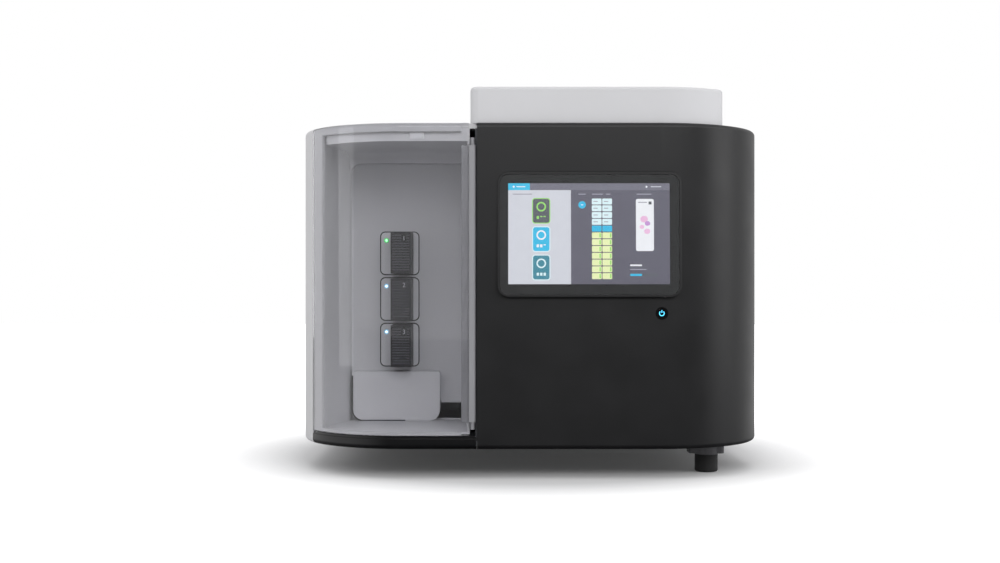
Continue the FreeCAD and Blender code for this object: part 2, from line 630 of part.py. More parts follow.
def build_frame():
    """Posts and beams of square tube, with the bulkhead beside the bay and the bars under it."""
    width = size.post_width
    tall = (BASE_TOP, DECK_UNDER)
    beam = (DECK_UNDER - size.beam_height, DECK_UNDER)
    left = (LEFT + size.post_inset, LEFT + size.post_inset + width)
    right = (RIGHT - size.post_inset - width, RIGHT - size.post_inset)
    back = (REAR - size.rear_post_inset - width, REAR - size.rear_post_inset)
    middle = (size.middle_post_y - width / 2, size.middle_post_y + width / 2)
    bulkhead_right = BULKHEAD_LEFT + size.bulkhead_thickness
    front = (FRONT + size.front_post_setback, FRONT + size.front_post_setback + width)
    inside = (bulkhead_right, bulkhead_right + width)
    bay_bar = (BASE_TOP, size.bay_floor - size.liner_wall)
    bar_x = (BULKHEAD_LEFT - size.bay_bar_length, BULKHEAD_LEFT)
    half = size.bay_bar_width / 2
    pieces = [
        box("post_rear_left", left, back, tall),
        box("post_rear_right", right, back, tall),
        box("post_right", right, middle, tall),
        box("post_left", left, middle, tall),
        box("post_front", inside, front, tall),
        box("beam_rear", (left[0], right[1]), back, beam),
        box("beam_left", left, (middle[0], back[1]), beam),
        box("beam_right", right, (middle[0], back[1]), beam),
        box("beam_middle", (left[0], right[1]), middle, beam),
        box("beam_front", inside, (front[0], middle[1]), beam),
        box("bulkhead", (BULKHEAD_LEFT, bulkhead_right), (FRONT + size.liner_inset, middle[1]), tall),
        box("bay_bar_front", bar_x, (size.front_bar_y - half, size.front_bar_y + half), bay_bar),
        box("bay_bar_back", bar_x, (size.back_bar_y - half, size.back_bar_y + half), bay_bar),
    ]
    part("inner_frame", fuse("frame_fuse", *pieces))


def foot_places():
    """Where the four feet stand: front right, left, rear right and rear left."""
    back = REAR - size.rear_foot_inset
    return [(size.front_foot_x, FRONT + size.front_foot_setback),
            (size.left_foot_x, size.left_foot_y),
            (-size.left_foot_x, back), (size.left_foot_x, back)]


def build_feet():
    """Rubber pads under collars, each on a block that is bolted to the base through a boss."""
    pads, mounts = [], []
    plate_bottom = size.pad_height + size.foot_plate_rise
    half = size.foot_plate_width / 2
    for number, (x, y) in enumerate(foot_places(), start=1):
        pad = rod_body(f"pad_{number}", size.foot_radius, x, y, (as_size(0), size.pad_height))
        round_edges(pad, at_bottom, size.pad_round)
        pads.append(pad)
        collar = rod(f"collar_{number}", size.collar_radius, "z", (x, y), (size.pad_height, BOTTOM))
        plate = slab(f"foot_plate_{number}", (x - half, x + half), (y - size.foot_plate_front, y + half),
                     (plate_bottom, BOTTOM), "z", size.foot_plate_round)
        boss = rod(f"boss_{number}", size.boss_radius, "z", (x, y), (BOTTOM, INNER_BOTTOM))
        mounts.append(fuse(f"foot_mount_{number}", collar, plate, boss))
    part("foot_pads", group("pad_group", *pads))
    part("foot_mounts", group("mount_group", *mounts))


def rod_body(name, radius, x, y, ends):
    """A cylinder as a body, so that its edges can be rounded."""
    return turned(name, x, y, ends[0], [(0, 0), (radius, 0), (radius, ends[1] - ends[0]),
                                        (0, ends[1] - ends[0])])


# ---- door ----

def build_door(casing):
    """The clear door, its pale rim, the stile that it turns on, and what holds it."""
    top = TOP + 1
    window_right = size.hinge_x - size.barrel_radius - size.window_gap
    zone = box("window_zone", (LEFT - PAST, window_right), (FRONT - PAST, ARC_Y), (DOOR_BOTTOM, top))
    zone_side = door_side("window_side", size.door_angle, DOOR_BOTTOM, top)
    behind = plan_slab("window_behind", size.door_wall, BOTTOM - PAST, top)
    window = cut("window_cut", common("window_common", casing, zone, zone_side), behind)
    part("door_window", window)

    rim_top = TOP - size.cover_wall / 2
    rim_right = size.hinge_x - size.stile_lap
    rim_outer = plan_slab("rim_outer", size.door_wall, DOOR_BOTTOM, rim_top)
    rim_inner = plan_slab("rim_inner", DOOR_DEPTH, BOTTOM, top)
    rim_zone = box("rim_zone", (LEFT - PAST, rim_right), (FRONT - PAST, ARC_Y), (DOOR_BOTTOM, rim_top))
    rim_side = door_side("rim_side", size.door_angle, DOOR_BOTTOM, rim_top)
    low, high = DOOR_BOTTOM + size.rim_bottom, TOP - size.rim_top
    sight = common("rim_sight", box("rim_sight_box", (LEFT - PAST, rim_right + PAST), (FRONT - PAST, ARC_Y),
                                    (low, high)), door_side("rim_sight_side", size.rim_angle, low, high))
    part("door_rim", cut("rim_cut", common("rim_common", rim_outer, rim_zone, rim_side), rim_inner, sight))
    build_stile()
    build_hinges()
    part("door_catch", slab("catch_slab", *catch_span(),
                            (size.bay_ceiling + size.liner_wall, DECK_UNDER), "z", size.band_round))


def catch_span():
    """Where the magnet that holds the door lies, across and deep."""
    left = LEFT + size.catch_inset
    front = FRONT + DOOR_DEPTH + size.catch_gap
    return (left, left + size.catch_width), (front, front + size.catch_depth)


def stile_ends():
    """The stile stands between the two fixed ears, a fit gap away from each."""
    return size.lower_ear_z + size.ear_height + size.fit_gap, size.upper_ear_z - size.fit_gap


def build_stile():
    """The door's upright along the hinge: a barrel with a leaf behind the window."""
    ends = stile_ends()
    x = size.hinge_x
    back = FRONT + DOOR_DEPTH
    barrel = rod("stile_barrel", size.barrel_radius, "z", (x, HINGE_Y), ends)
    web = box("stile_web", (x - size.barrel_radius, x), (FRONT, back), ends)
    leaf = box("stile_leaf", (x - size.stile_lap, x), (FRONT + size.door_wall, back), ends)
    bore = rod("stile_bore", size.hinge_pin_radius, "z", (x, HINGE_Y), (ends[0] - PAST, ends[1] + PAST))
    part("door_stile", cut("stile_cut", fuse("stile_fuse", barrel, web, leaf), bore))


def build_hinges():
    """Pins pressed into the stile turn in ears that reach forward from the bulkhead."""
    x = size.hinge_x
    half = size.ear_half_width
    ears, pins = [], []
    for name, low, pin_low in (("lower", size.lower_ear_z, size.lower_ear_z),
                               ("upper", size.upper_ear_z,
                                size.upper_ear_z + size.ear_height - size.pin_length)):
        ends = (low, low + size.ear_height)
        eye = rod(name + "_eye", half, "z", (x, HINGE_Y), ends)
        arm = box(name + "_arm", (x - half, x + half), (HINGE_Y, HINGE_Y + size.ear_length), ends)
        pad = box(name + "_pad", (x - half, BULKHEAD_LEFT),
                  (FRONT + size.liner_inset + size.cover_wall, HINGE_Y + size.ear_length), ends)
        bore = rod(name + "_bore", size.hinge_pin_radius + size.pin_clearance, "z", (x, HINGE_Y),
                   (ends[0] - PAST, ends[1] + PAST))
        ears.append(cut(name + "_ear", fuse(name + "_ear_fuse", eye, arm, pad), bore))
        pins.append(rod(name + "_pin", size.hinge_pin_radius, "z", (x, HINGE_Y),
                        (pin_low, pin_low + size.pin_length)))
    part("door_hinge_brackets", group("ear_group", *ears))
    part("door_hinge_pins", group("pin_group", *pins))


# ---- loading bay ----

def build_liner():
    """The pale shell of the loading bay, open towards the door."""
    wall = size.liner_wall
    front = FRONT + size.liner_inset
    wall_front = FRONT + size.bay_left_setback
    ends = (size.bay_floor - wall, size.bay_ceiling + wall)
    back = RACK_WALL + wall
    bend = size.bay_wall_radius
    shell_points = [(size.bay_right + wall, AHEAD), (size.bay_right + wall, back),
                    (size.bay_left_back - wall, back), (size.bay_left_back - wall, BAY_BACK),
                    (size.bay_left_front - wall, wall_front), (LEFT, AHEAD)]
    shell = outline("liner_shell", "z", ends, shell_points, {3: bend})
    reach = plan_slab("liner_reach", size.liner_inset, *ends)
    header_ends = (size.bay_ceiling, DECK_UNDER)
    header = cut("header_cut", common("header_common", outline("header_zone", "z", header_ends,
                                                               shell_points, {3: bend}),
                                      plan_slab("header_outer", size.liner_inset, *header_ends)),
                 plan_slab("header_inner", size.liner_inset + wall, BOTTOM, TOP))
    room_points = [(size.bay_right, AHEAD), (size.bay_right, BAY_BACK), (size.bay_left_back, BAY_BACK),
                   (size.bay_left_front, wall_front), (LEFT, AHEAD)]
    room = outline("bay_room", "z", (size.bay_floor, size.bay_ceiling), room_points, {2: bend})

    def back_top(edge, whole):
        return at_top(edge, whole) and edge.YMin > whole.YMax - NEAR
    round_edges(room, back_top, size.bay_round)
    radii = [size.band_round, size.band_round, size.recess_round, size.recess_round]
    recess = slab("rack_recess", (size.bay_left_back, size.bay_right), (front, RACK_WALL),
                  (size.bay_floor, size.recess_top), "y", radii)
    relief = box("liner_relief", (size.bay_left_back - wall, size.bay_right + wall),
                 (BAY_BACK + wall, back + PAST), (size.recess_top + wall, size.bay_ceiling))
    through = (RACK_WALL - PAST, back + PAST)
    holes = [slab(f"port_hole_{number}", (size.port_left - size.port_gap, size.port_right + size.port_gap),
                  through, (z - half_port(), z + half_port()), "y", size.port_round + size.port_gap)
             for number, z in enumerate(rack_heights(), start=1)]
    holes.append(slab("waste_hole", (size.waste_left, size.waste_right), through,
                      (size.waste_bottom, size.waste_top), "y", size.waste_round))
    catch_x, catch_y = catch_span()
    gap = size.fit_gap
    holes.append(box("catch_hole", (catch_x[0] - gap, catch_x[1] + gap), (AHEAD, catch_y[1] + gap),
                     (size.bay_ceiling + wall, TOP)))
    body = fuse("liner_fuse", common("liner_common", shell, reach), header)
    part("bay_liner", cut("liner_cut", body, room, recess, relief, *holes))

    skirt_x = (size.skirt_left, size.skirt_right)
    low, high = size.bay_floor, size.bay_floor + size.skirt_height
    front = RACK_WALL - size.skirt_depth
    radii = [size.skirt_round, size.skirt_round, size.skirt_top_round, size.skirt_top_round]
    skirt = slab("skirt_slab", skirt_x, (front, RACK_WALL), (low, high), "y", radii)
    inner_radii = [size.skirt_round - wall, size.skirt_round - wall, None, None]
    hollow = slab("skirt_hollow", (size.skirt_left + wall, size.skirt_right - wall),
                  (front + wall, RACK_WALL + PAST), (low + wall, high - wall), "y", inner_radii)
    part("bay_lower_panel", cut("skirt_cut", skirt, hollow))


def rack_heights():
    """The middle height of each rack, the top one first."""
    return [size.rack_middle_z + size.rack_pitch * step for step in (1, 0, -1)]


def half_port():
    return size.port_height / 2 + size.port_gap


def build_ports():
    """Each rack slides through a port: a plate in the bay's wall with a sleeve behind it."""
    ports, lights = [], []
    gap, wall = size.fit_gap, size.sleeve_wall
    half_width = size.rack_width / 2 + gap
    half_height = size.rack_height / 2 + gap
    back = RACK_WALL + size.liner_wall
    for number, z in enumerate(rack_heights(), start=1):
        face = slab(f"port_face_{number}", (size.port_left, size.port_right), (RACK_WALL, back),
                    (z - size.port_height / 2, z + size.port_height / 2), "y", size.port_round)
        ears = box(f"port_ears_{number}", (size.port_left - size.port_ear, size.port_right + size.port_ear),
                   (back, back + size.liner_wall),
                   (z - size.port_ear_height / 2, z + size.port_ear_height / 2))
        sleeve = box(f"sleeve_{number}", (size.rack_x - half_width - wall, size.rack_x + half_width + wall),
                     (back, back + size.sleeve_length), (z - half_height - wall, z + half_height + wall))
        way = box(f"rack_way_{number}", (size.rack_x - half_width, size.rack_x + half_width),
                  (RACK_WALL - PAST, back + size.sleeve_length + PAST), (z - half_height, z + half_height))
        light_z = z + size.light_rise
        hole = rod(f"light_hole_{number}", size.light_radius + size.pin_clearance, "y",
                   (size.light_x, light_z), (RACK_WALL - PAST, back + size.liner_wall + PAST))
        ports.append(cut(f"port_{number}", fuse(f"port_fuse_{number}", face, ears, sleeve), way, hole))
        front = RACK_WALL - size.light_proud
        lights.append(rod(f"light_{number}", size.light_radius, "y", (size.light_x, light_z),
                          (front, front + size.light_length)))
    part("rack_ports", group("port_group", *ports))
    part("status_lights", group("light_group", *lights))


def build_rack(number, z):
    """A rack with its slots open to the rear, ribs on its front, a notch that bares the slides'
    ends for the gripper, and the slides that it holds."""
    x, low = size.rack_x - size.rack_width / 2, z - size.rack_height / 2
    front = RACK_WALL - size.rack_proud
    block = slab(f"rack_block_{number}", (x, x + size.rack_width), (front, front + size.rack_length),
                 (low, low + size.rack_height), "y", [None] * 4)
    slot_wide = size.slide_width + 2 * size.slide_gap
    slot_x = size.rack_x - slot_wide / 2
    slots = row_of_boxes(f"rack_slots_{number}", (slot_x, slot_x + slot_wide),
                         (front + size.rack_front_wall, front + size.rack_length + PAST),
                         (low + size.slot_start, low + size.slot_start + size.slot_height),
                         size.slot_pitch, size.slides_per_rack)
    rib_x = (x + size.rib_margin, x + size.rack_width - size.rib_margin)
    ribs = row_of_boxes(f"rack_ribs_{number}", rib_x, (front - PAST, front + size.rib_depth),
                        (low + size.slot_start, low + size.slot_start + size.slot_height),
                        size.slot_pitch, size.slides_per_rack)
    back = front + size.rack_length
    notch_top = low + size.slot_start + size.slot_pitch * (size.slides_per_rack - 1) + size.slot_height
    half_notch = size.notch_width / 2
    notch = box(f"rack_notch_{number}", (size.rack_x - half_notch, size.rack_x + half_notch),
                (back - size.notch_depth, back + PAST), (low + size.slot_start, notch_top))
    part(f"rack_{number}", cut(f"rack_cut_{number}", block, slots, ribs, notch))
    slide_x = size.rack_x - size.slide_width / 2
    slide_y = front + size.rack_front_wall + size.slide_gap
    part(f"slides_{number}",
         row_of_boxes(f"slide_row_{number}", (slide_x, slide_x + size.slide_width),
                      (slide_y, slide_y + size.slide_length),
                      (low + size.slot_start, low + size.slot_start + size.slide_thickness),
                      size.slot_pitch, size.slides_per_rack))


# ---- display and power button ----

def bezel_left():
    return size.cover_edge_x + size.bezel_left_margin


def bezel_right():
    return RIGHT - size.bezel_right_margin


def bezel_top():
    return size.bezel_bottom + size.bezel_height


def tilt_about_top(item, x, z, depth=0):
    """Leans a display piece about the bezel's top edge; its place is measured along the lean."""
    lean = slope_angle(size.display_proud / size.bezel_height)
    item.Placement.Rotation = FreeCAD.Rotation(V(1, 0, 0), 1)
    bind(item, "Placement.Rotation.Angle", -lean)
    down = bezel_top() - z
    place(item, x, FRONT - down * sine(lean) + depth * cosine(lean),
          bezel_top() - down * cosine(lean) - depth * sine(lean))


def tilted_slab(name, x, z, depth, thickness, radii):
    """A rounded plate parallel to the leaning screen, its face at a depth behind the bezel's face."""
    item = slab(name, x, (0, thickness), z, "y", radii)
    tilt_about_top(item, x[0], z[0], depth)
    return item


def build_display():
    """A bezel through the cover, leaning back, with a bonded screen under its glass."""
    x, z = (bezel_left(), bezel_right()), (size.bezel_bottom, bezel_top())
    inside = FRONT + size.cover_wall
    back = FRONT + size.bezel_back
    block = slab("bezel_block", x, (FRONT - 2 * size.display_proud, back), z, "y", size.bezel_round)
    lip = size.bezel_lip
    flat_end = RIGHT - size.corner_radius - size.fit_gap
    flange = slab("bezel_flange_slab", (x[0] - lip, flat_end), (inside, inside + size.bezel_flange),
                  (z[0] - lip, z[1] + lip), "y", size.bezel_lip)
    space = box("bezel_space", (0, x[1] - x[0] + 4 * lip), (0, REACH), (0, size.bezel_height * 2))
    tilt_about_top(space, x[0] - 2 * lip, z[0] - size.bezel_height / 2, as_size(0))
    rim = size.bezel_rim
    glass_x, glass_z = (x[0] + rim, x[1] - rim), (z[0] + rim, z[1] - rim)
    recess = tilted_slab("glass_recess", glass_x, glass_z, -PAST, size.glass_thickness + PAST,
                         size.bezel_rim_round)
    gap = size.fit_gap
    screen_x = (x[0] + size.screen_left_margin, x[1] - size.screen_right_margin)
    screen_z = (size.screen_bottom, size.screen_bottom + size.screen_height)
    hole = tilted_slab("screen_hole", (screen_x[0] - gap, screen_x[1] + gap),
                       (screen_z[0] - gap, screen_z[1] + gap), as_size(0),
                       size.bezel_back + 3 * size.display_proud, [None] * 4)
    leaning = common("bezel_leaning", fuse("bezel_fuse", block, flange), space)
    part("display_bezel", cut("bezel_cut", leaning, recess, hole))
    part("display_glass", tilted_slab("glass_slab", (glass_x[0] + gap, glass_x[1] - gap),
                                      (glass_z[0] + gap, glass_z[1] - gap), as_size(0),
                                      size.glass_thickness, size.bezel_rim_round - gap))
    part("lcd_panel", tilted_slab("screen_slab", screen_x, screen_z, size.glass_thickness,
                                  size.screen_depth, [None] * 4))


def front_sag(x):
    """How far the front has curved back at a place across, towards the right corner."""
    past = larger(as_size(0), x - (RIGHT - size.corner_radius))
    return size.corner_radius - root(size.corner_radius * size.corner_radius - past * past)


def build_button():
    """The power button: a cap that slides in a ring, a lit symbol in it and the switch behind."""
    at = (BUTTON_X, size.button_z)
    inside = FRONT + size.cover_wall + front_sag(BUTTON_X + size.button_flange_radius)
    ring_back = FRONT + size.button_ring_length
    tube = rod("ring_tube", size.button_ring_radius, "y", at, (FRONT, ring_back))
    flange = rod("ring_flange", size.button_flange_radius, "y", at, (inside, inside + size.button_flange))
    bore = rod("ring_bore", size.button_bore, "y", at, (FRONT - PAST, ring_back + PAST))
    part("power_button_ring", cut("ring_cut", fuse("ring_fuse", tube, flange), bore))

    face = FRONT + size.button_recess
    cap_back = face + size.button_length
    stem_back = ring_back + 2 * size.button_travel
    cap = rod("cap_disc", size.button_radius, "y", at, (face, cap_back))
    stem = rod("cap_stem", size.stem_radius, "y", at, (cap_back, stem_back))
    seat = rod("symbol_seat", size.symbol_radius, "y", at, (face - PAST, face + size.symbol_thickness))
    part("power_button_cap", cut("cap_cut", fuse("cap_fuse", cap, stem), seat))
    part("power_symbol", rod("symbol_disc", size.symbol_radius, "y", at,
                             (face, face + size.symbol_thickness)))

    half = size.switch_size / 2
    body = slab("switch_body", (at[0] - half, at[0] + half), (ring_back, ring_back + size.switch_length),
                (at[1] - half, at[1] + half), "y", size.switch_round)
    well = rod("switch_well", size.stem_radius + size.stem_clearance, "y", at,
               (ring_back - PAST, stem_back + 2 * size.button_travel))
    part("power_switch", cut("switch_cut", body, well))


# ---- rear connections and cooling ----

def inlet_body():
    """The part of the inlet module that passes through the rear panel: across and up."""
    left = size.inlet_module_left + size.inlet_body_inset
    right = size.inlet_module_left + size.inlet_module_width - size.inlet_body_inset
    half = size.inlet_body_height / 2
    return (left, right), (size.inlet_z - half, size.inlet_z + half)


def build_inlet():
    """A mains inlet with three pins and its rocker switch, in one module that is set in the panel."""
    front = REAR - size.inlet_body_depth
    x, z = inlet_body()
    half = size.inlet_module_height / 2
    outer = (REAR, REAR + size.screw_head_height)
    module_right = size.inlet_module_left + size.inlet_module_width
    flange = slab("inlet_flange", (size.inlet_module_left, module_right),
                  outer, (size.inlet_z - half, size.inlet_z + half), "y", size.inlet_round)
    body = box("inlet_block", x, (front, REAR), z)
    half_inlet = size.inlet_width / 2
    cavity = slab("inlet_cavity", (size.inlet_x - half_inlet, size.inlet_x + half_inlet),
                  (outer[1] - size.inlet_cavity, outer[1] + PAST),
                  (size.inlet_z - size.inlet_height / 2, size.inlet_z + size.inlet_height / 2), "y",
                  [size.mouth_round, size.mouth_round, size.mouth_top_round, size.mouth_top_round])
    gap, end_gap = size.rocker_gap, size.rocker_end_gap
    half_wide, half_high = size.rocker_width / 2, size.rocker_height / 2
    well = box("rocker_well", (size.rocker_x - half_wide - gap, size.rocker_x + half_wide + gap),
               (outer[1] - size.rocker_well, outer[1] + PAST),
               (size.inlet_z - half_high - end_gap, size.inlet_z + half_high + end_gap))
    pin_reach = half_wide + size.rocker_pin_length
    pin_hole = rod("rocker_pin_hole", size.rocker_pin_radius + size.pin_clearance, "x",
                   (REAR, size.inlet_z), (size.rocker_x - pin_reach - gap, size.rocker_x + pin_reach + gap))
    shell = cut("inlet_shell", fuse("inlet_fuse", flange, body), cavity, well, pin_hole)
    pins = []
    floor = outer[1] - size.inlet_cavity
    for name, across, up in (("line", -1, -1), ("earth", 0, 1), ("neutral", 1, -1)):
        pin_x = size.inlet_x + size.inlet_pin_pitch * across
        pin_z = size.inlet_z + size.inlet_pin_drop * up / 2
        thin, wide = size.inlet_pin_thickness / 2, size.inlet_pin_width / 2
        pins.append(box(f"pin_{name}", (pin_x - thin, pin_x + thin), (floor, floor + size.inlet_pin_length),
                        (pin_z - wide, pin_z + wide)))
    part("mains_inlet", group("inlet_group", shell, *pins))

    rocker = box("rocker_block", (size.rocker_x - half_wide, size.rocker_x + half_wide),
                 (REAR + size.rocker_proud - size.rocker_depth, REAR + size.rocker_proud),
                 (size.inlet_z - half_high, size.inlet_z + half_high))
    pivots = rod("rocker_pivots", size.rocker_pin_radius, "x", (REAR, size.inlet_z),
                 (size.rocker_x - pin_reach, size.rocker_x + pin_reach))
    part("mains_rocker", fuse("rocker_fuse", rocker, pivots))


def socket_body(number):
    """A network socket's outside: across and up."""
    left = size.socket_left + size.socket_pitch * number
    half = size.socket_height / 2
    return (left, left + size.socket_width), (size.inlet_z - half, size.inlet_z + half)


def build_sockets():
    sockets = []
    for number in range(2):
        x, z = socket_body(number)
        side = (size.socket_width - size.socket_mouth) / 2
        sill = (size.socket_height - size.socket_mouth_height) / 2
        block = box(f"socket_block_{number}", x, (REAR - size.socket_depth, REAR + size.fit_gap), z)
        mouth = box(f"socket_mouth_{number}", (x[0] + side, x[1] - side),
                    (REAR + size.fit_gap - size.socket_mouth_depth, REAR + PAST),
                    (z[0] + sill, z[1] - sill))
        sockets.append(cut(f"socket_{number}", block, mouth))
    part("network_sockets", group("socket_group", *sockets))


def screw_places():
    """Screws down both edges of the rear panel, with those of the inlet module's sides."""
    side = size.rear_panel_width / 2 - size.screw_inset
    return [(across, size.screw_low_z + size.screw_rise * step) for across in (-side, side)
            for step in range(4)]


def build_screws():
    screws = []
    for number, place_xz in enumerate(screw_places(), start=1):
        head = rod(f"screw_head_{number}", size.screw_head_radius, "y", place_xz,
                   (REAR, REAR + size.screw_head_height))
        shank = rod(f"screw_shank_{number}", size.screw_radius, "y", place_xz,
                    (REAR - size.screw_length, REAR))
        screws.append(fuse(f"screw_{number}", head, shank))
    part("cover_screws", group("screw_group", *screws))


def fan_places():
    return [size.fan_left_x, size.fan_left_x + size.fan_pitch]


def build_fans():
    """Two fans behind their grilles: a frame with a motor on struts, and a rotor on its shaft."""
    back = REAR - size.cover_wall
    front = back - size.fan_depth
    motor_front = back - size.fan_motor_depth
    hub_back = motor_front - size.fan_hub_gap
    half = size.fan_size / 2
    frames = []
    for number, x in enumerate(fan_places(), start=1):
        at = (x, size.fan_z)
        square = slab(f"fan_square_{number}", (x - half, x + half), (front, back),
                      (size.fan_z - half, size.fan_z + half), "y", size.fan_round)
        bore = rod(f"fan_bore_{number}", size.fan_bore, "y", at, (front - PAST, back + PAST))
        motor = rod(f"fan_motor_{number}", size.fan_motor_radius, "y", at, (motor_front, back))
        thin = size.fan_strut / 2
        level = box(f"fan_level_{number}", (x - half + thin, x + half - thin), (motor_front, back),
                    (size.fan_z - thin, size.fan_z + thin))
        upright = box(f"fan_upright_{number}", (x - thin, x + thin), (motor_front, back),
                      (size.fan_z - half + thin, size.fan_z + half - thin))
        socket = rod(f"fan_bearing_{number}", size.fan_shaft_radius + size.pin_clearance, "y", at,
                     (motor_front - PAST, back - PAST))
        ring = cut(f"fan_ring_{number}", square, bore)
        frames.append(cut(f"fan_frame_{number}", fuse(f"fan_fuse_{number}", ring, motor, level, upright),
                          socket))
        hub = rod(f"fan_hub_{number}", size.fan_hub_radius, "y", at, (front + size.fan_play, hub_back))
        shaft = rod(f"fan_shaft_{number}", size.fan_shaft_radius, "y", at,
                    (hub_back, back - size.fan_shaft_end))
        blades = [fan_blade(number, step, x, front, hub_back) for step in range(SIZES["fan_blades"])]
        part(f"fan_rotor_{number}", fuse(f"fan_rotor_fuse_{number}", hub, shaft, *blades))
    part("fan_housings", group("fan_group", *frames))


def fan_blade(number, step, x, front, back):
    """One pitched blade, which starts inside the hub."""
    depth = back - front - size.blade_shortfall
    blade = DOC.addObject("Part::Box", f"blade_{number}_{step}")
    bind(blade, "Length", size.fan_blade_radius - size.fan_hub_radius / 2)
    bind(blade, "Width", depth)
    bind(blade, "Height", size.blade_thickness)
    turn = 360 / size.fan_blades * step
    spin = FreeCAD.Rotation(V(0, 1, 0), -turn.value)
    pitch = FreeCAD.Rotation(V(1, 0, 0), size.blade_pitch.value)
    blade.Placement.Rotation = spin * pitch
    reach = size.fan_hub_radius / 2
    drop = depth / 2 * sine(size.blade_pitch)
    shift = depth / 2 * (1 - cosine(size.blade_pitch))
    place(blade, x + reach * cosine(turn) + drop * sine(turn), front + size.blade_setback + shift,
          size.fan_z + reach * sine(turn) - drop * cosine(turn))
    return blade


# ---- electronics ----

def build_electronics():
    """The power supply on the base, and the control board on standoffs from the rear panel."""
    left = size.supply_left
    front = size.tower_y + size.tower_thickness + size.supply_gap
    supply = slab("supply_slab", (left, left + size.supply_width), (front, REAR - size.supply_setback),
                  (BASE_TOP, BASE_TOP + size.supply_height), "z", size.supply_round)
    part("power_supply", supply)

    panel = REAR - size.cover_wall
    board_back = panel - size.standoff_length
    board_front = board_back - size.board_thickness
    left, low = size.board_left, size.board_bottom
    right, high = left + size.board_width, low + size.board_height
    inset = size.standoff_inset
    pieces = [box("board_plate", (left, right), (board_front, board_back), (low, high))]
    for number, at in enumerate(((left + inset, low + inset), (right - inset, low + inset),
                                 (right - inset, high - inset), (left + inset, high - inset)), start=1):
        pieces.append(rod(f"standoff_{number}", size.standoff_radius, "y", at, (board_back, panel)))
    middle_x, middle_z = (left + right) / 2, (low + high) / 2
    for number, (across, up) in enumerate(((-1, 1), (1, 0), (-1, -1)), start=1):
        x, z = middle_x + size.chip_width * across, middle_z + size.chip_width * up
        half = size.chip_width / 2
        pieces.append(box(f"heat_sink_{number}", (x - half, x + half),
                          (board_front - size.chip_height, board_front), (z - half, z + half)))
    part("control_board", fuse("board_fuse", *pieces))


# ---- scanning unit ----

def build_optics_base():
    """A heavy table on four rubber isolators, with the column that carries the microscope."""
    low = BASE_TOP + size.isolator_height
    table = (low, low + size.optics_thickness)
    left, front = size.optics_left, size.optics_front
    right, back = left + size.optics_width, front + size.optics_length
    part("optics_base", slab("optics_slab", (left, right), (front, back), table, "z", size.optics_round))
    inset = size.isolator_inset
    mounts = [rod(f"isolator_{x_side}_{y_side}", size.isolator_radius, "z",
                  (left + inset if x_side == "left" else right - inset,
                   front + inset if y_side == "front" else back - inset), (BASE_TOP, low))
              for x_side in ("left", "right") for y_side in ("front", "back")]
    part("isolators", group("isolator_group", *mounts))

    x, y = size.optic_x, size.optic_y
    column_front = y + size.column_setback
    column = slab("column_slab", (x - size.column_width / 2, x + size.column_width / 2),
                  (column_front, column_front + size.column_depth),
                  (table[1], table[1] + size.column_height), "z", size.column_round)
    half = size.clamp_half_width
    clamps, bores = [], []
    for number, z in enumerate((size.clamp_low_z, size.clamp_high_z), start=1):
        ends = (z, z + size.clamp_height)
        clamps.append(box(f"clamp_{number}", (x - half, x + half), (y - half, column_front + PAST), ends))
        bores.append(rod(f"clamp_bore_{number}", size.tube_radius + size.pin_clearance, "z", (x, y),
                         (ends[0] - PAST, ends[1] + PAST)))
    part("optics_column", cut("column_cut", fuse("column_fuse", column, *clamps), *bores))
    return table[1], column_front


def build_microscope(column_front):
    """Objective on its focus carriage, tube and camera in the column's clamps."""
    x, y, gap = size.optic_x, size.optic_y, size.fit_gap
    rail_front = column_front - size.rail_height
    low, high = size.focus_bottom, size.focus_bottom + size.focus_height
    block = box("focus_block", (x - size.focus_width / 2, x + size.focus_width / 2),
                (column_front - gap - size.focus_depth, column_front - gap), (low, high))
    groove = box("focus_groove", (x - size.focus_rail_width / 2 - gap, x + size.focus_rail_width / 2 + gap),
                 (rail_front - gap, column_front), (low - PAST, high + PAST))
    half = size.focus_arm_half_width
    arm_z = (size.focus_arm_z, size.focus_arm_z + size.focus_arm_height)
    block_front = column_front - gap - size.focus_depth
    arm = box("focus_arm", (x - half, x + half), (y - half, block_front + PAST), arm_z)
    bore = rod("focus_bore", size.objective_radius, "z", (x, y), (arm_z[0] - PAST, arm_z[1] + PAST))
    part("focus_carriage", cut("focus_cut", fuse("focus_fuse", block, arm), groove, bore))

    tip, top = size.objective_tip_z, arm_z[1] + size.objective_flange
    flange_z, radius = arm_z[1] - tip, size.objective_radius
    profile = [(0, 0), (size.objective_tip_radius, 0), (radius, size.objective_cone), (radius, flange_z),
               (size.objective_flange_radius, flange_z), (size.objective_flange_radius, top - tip),
               (0, top - tip)]
    part("objective", turned("objective_body", x, y, tip, profile))

    tube = rod("camera_tube", size.tube_radius, "z", (x, y), (size.tube_bottom, size.camera_z))
    half = size.camera_width / 2
    camera = slab("camera_slab", (x - half, x + half), (y - half, y + half),
                  (size.camera_z, size.camera_z + size.camera_height), "z", size.camera_round)
    part("scan_camera", group("camera_group", tube, camera))


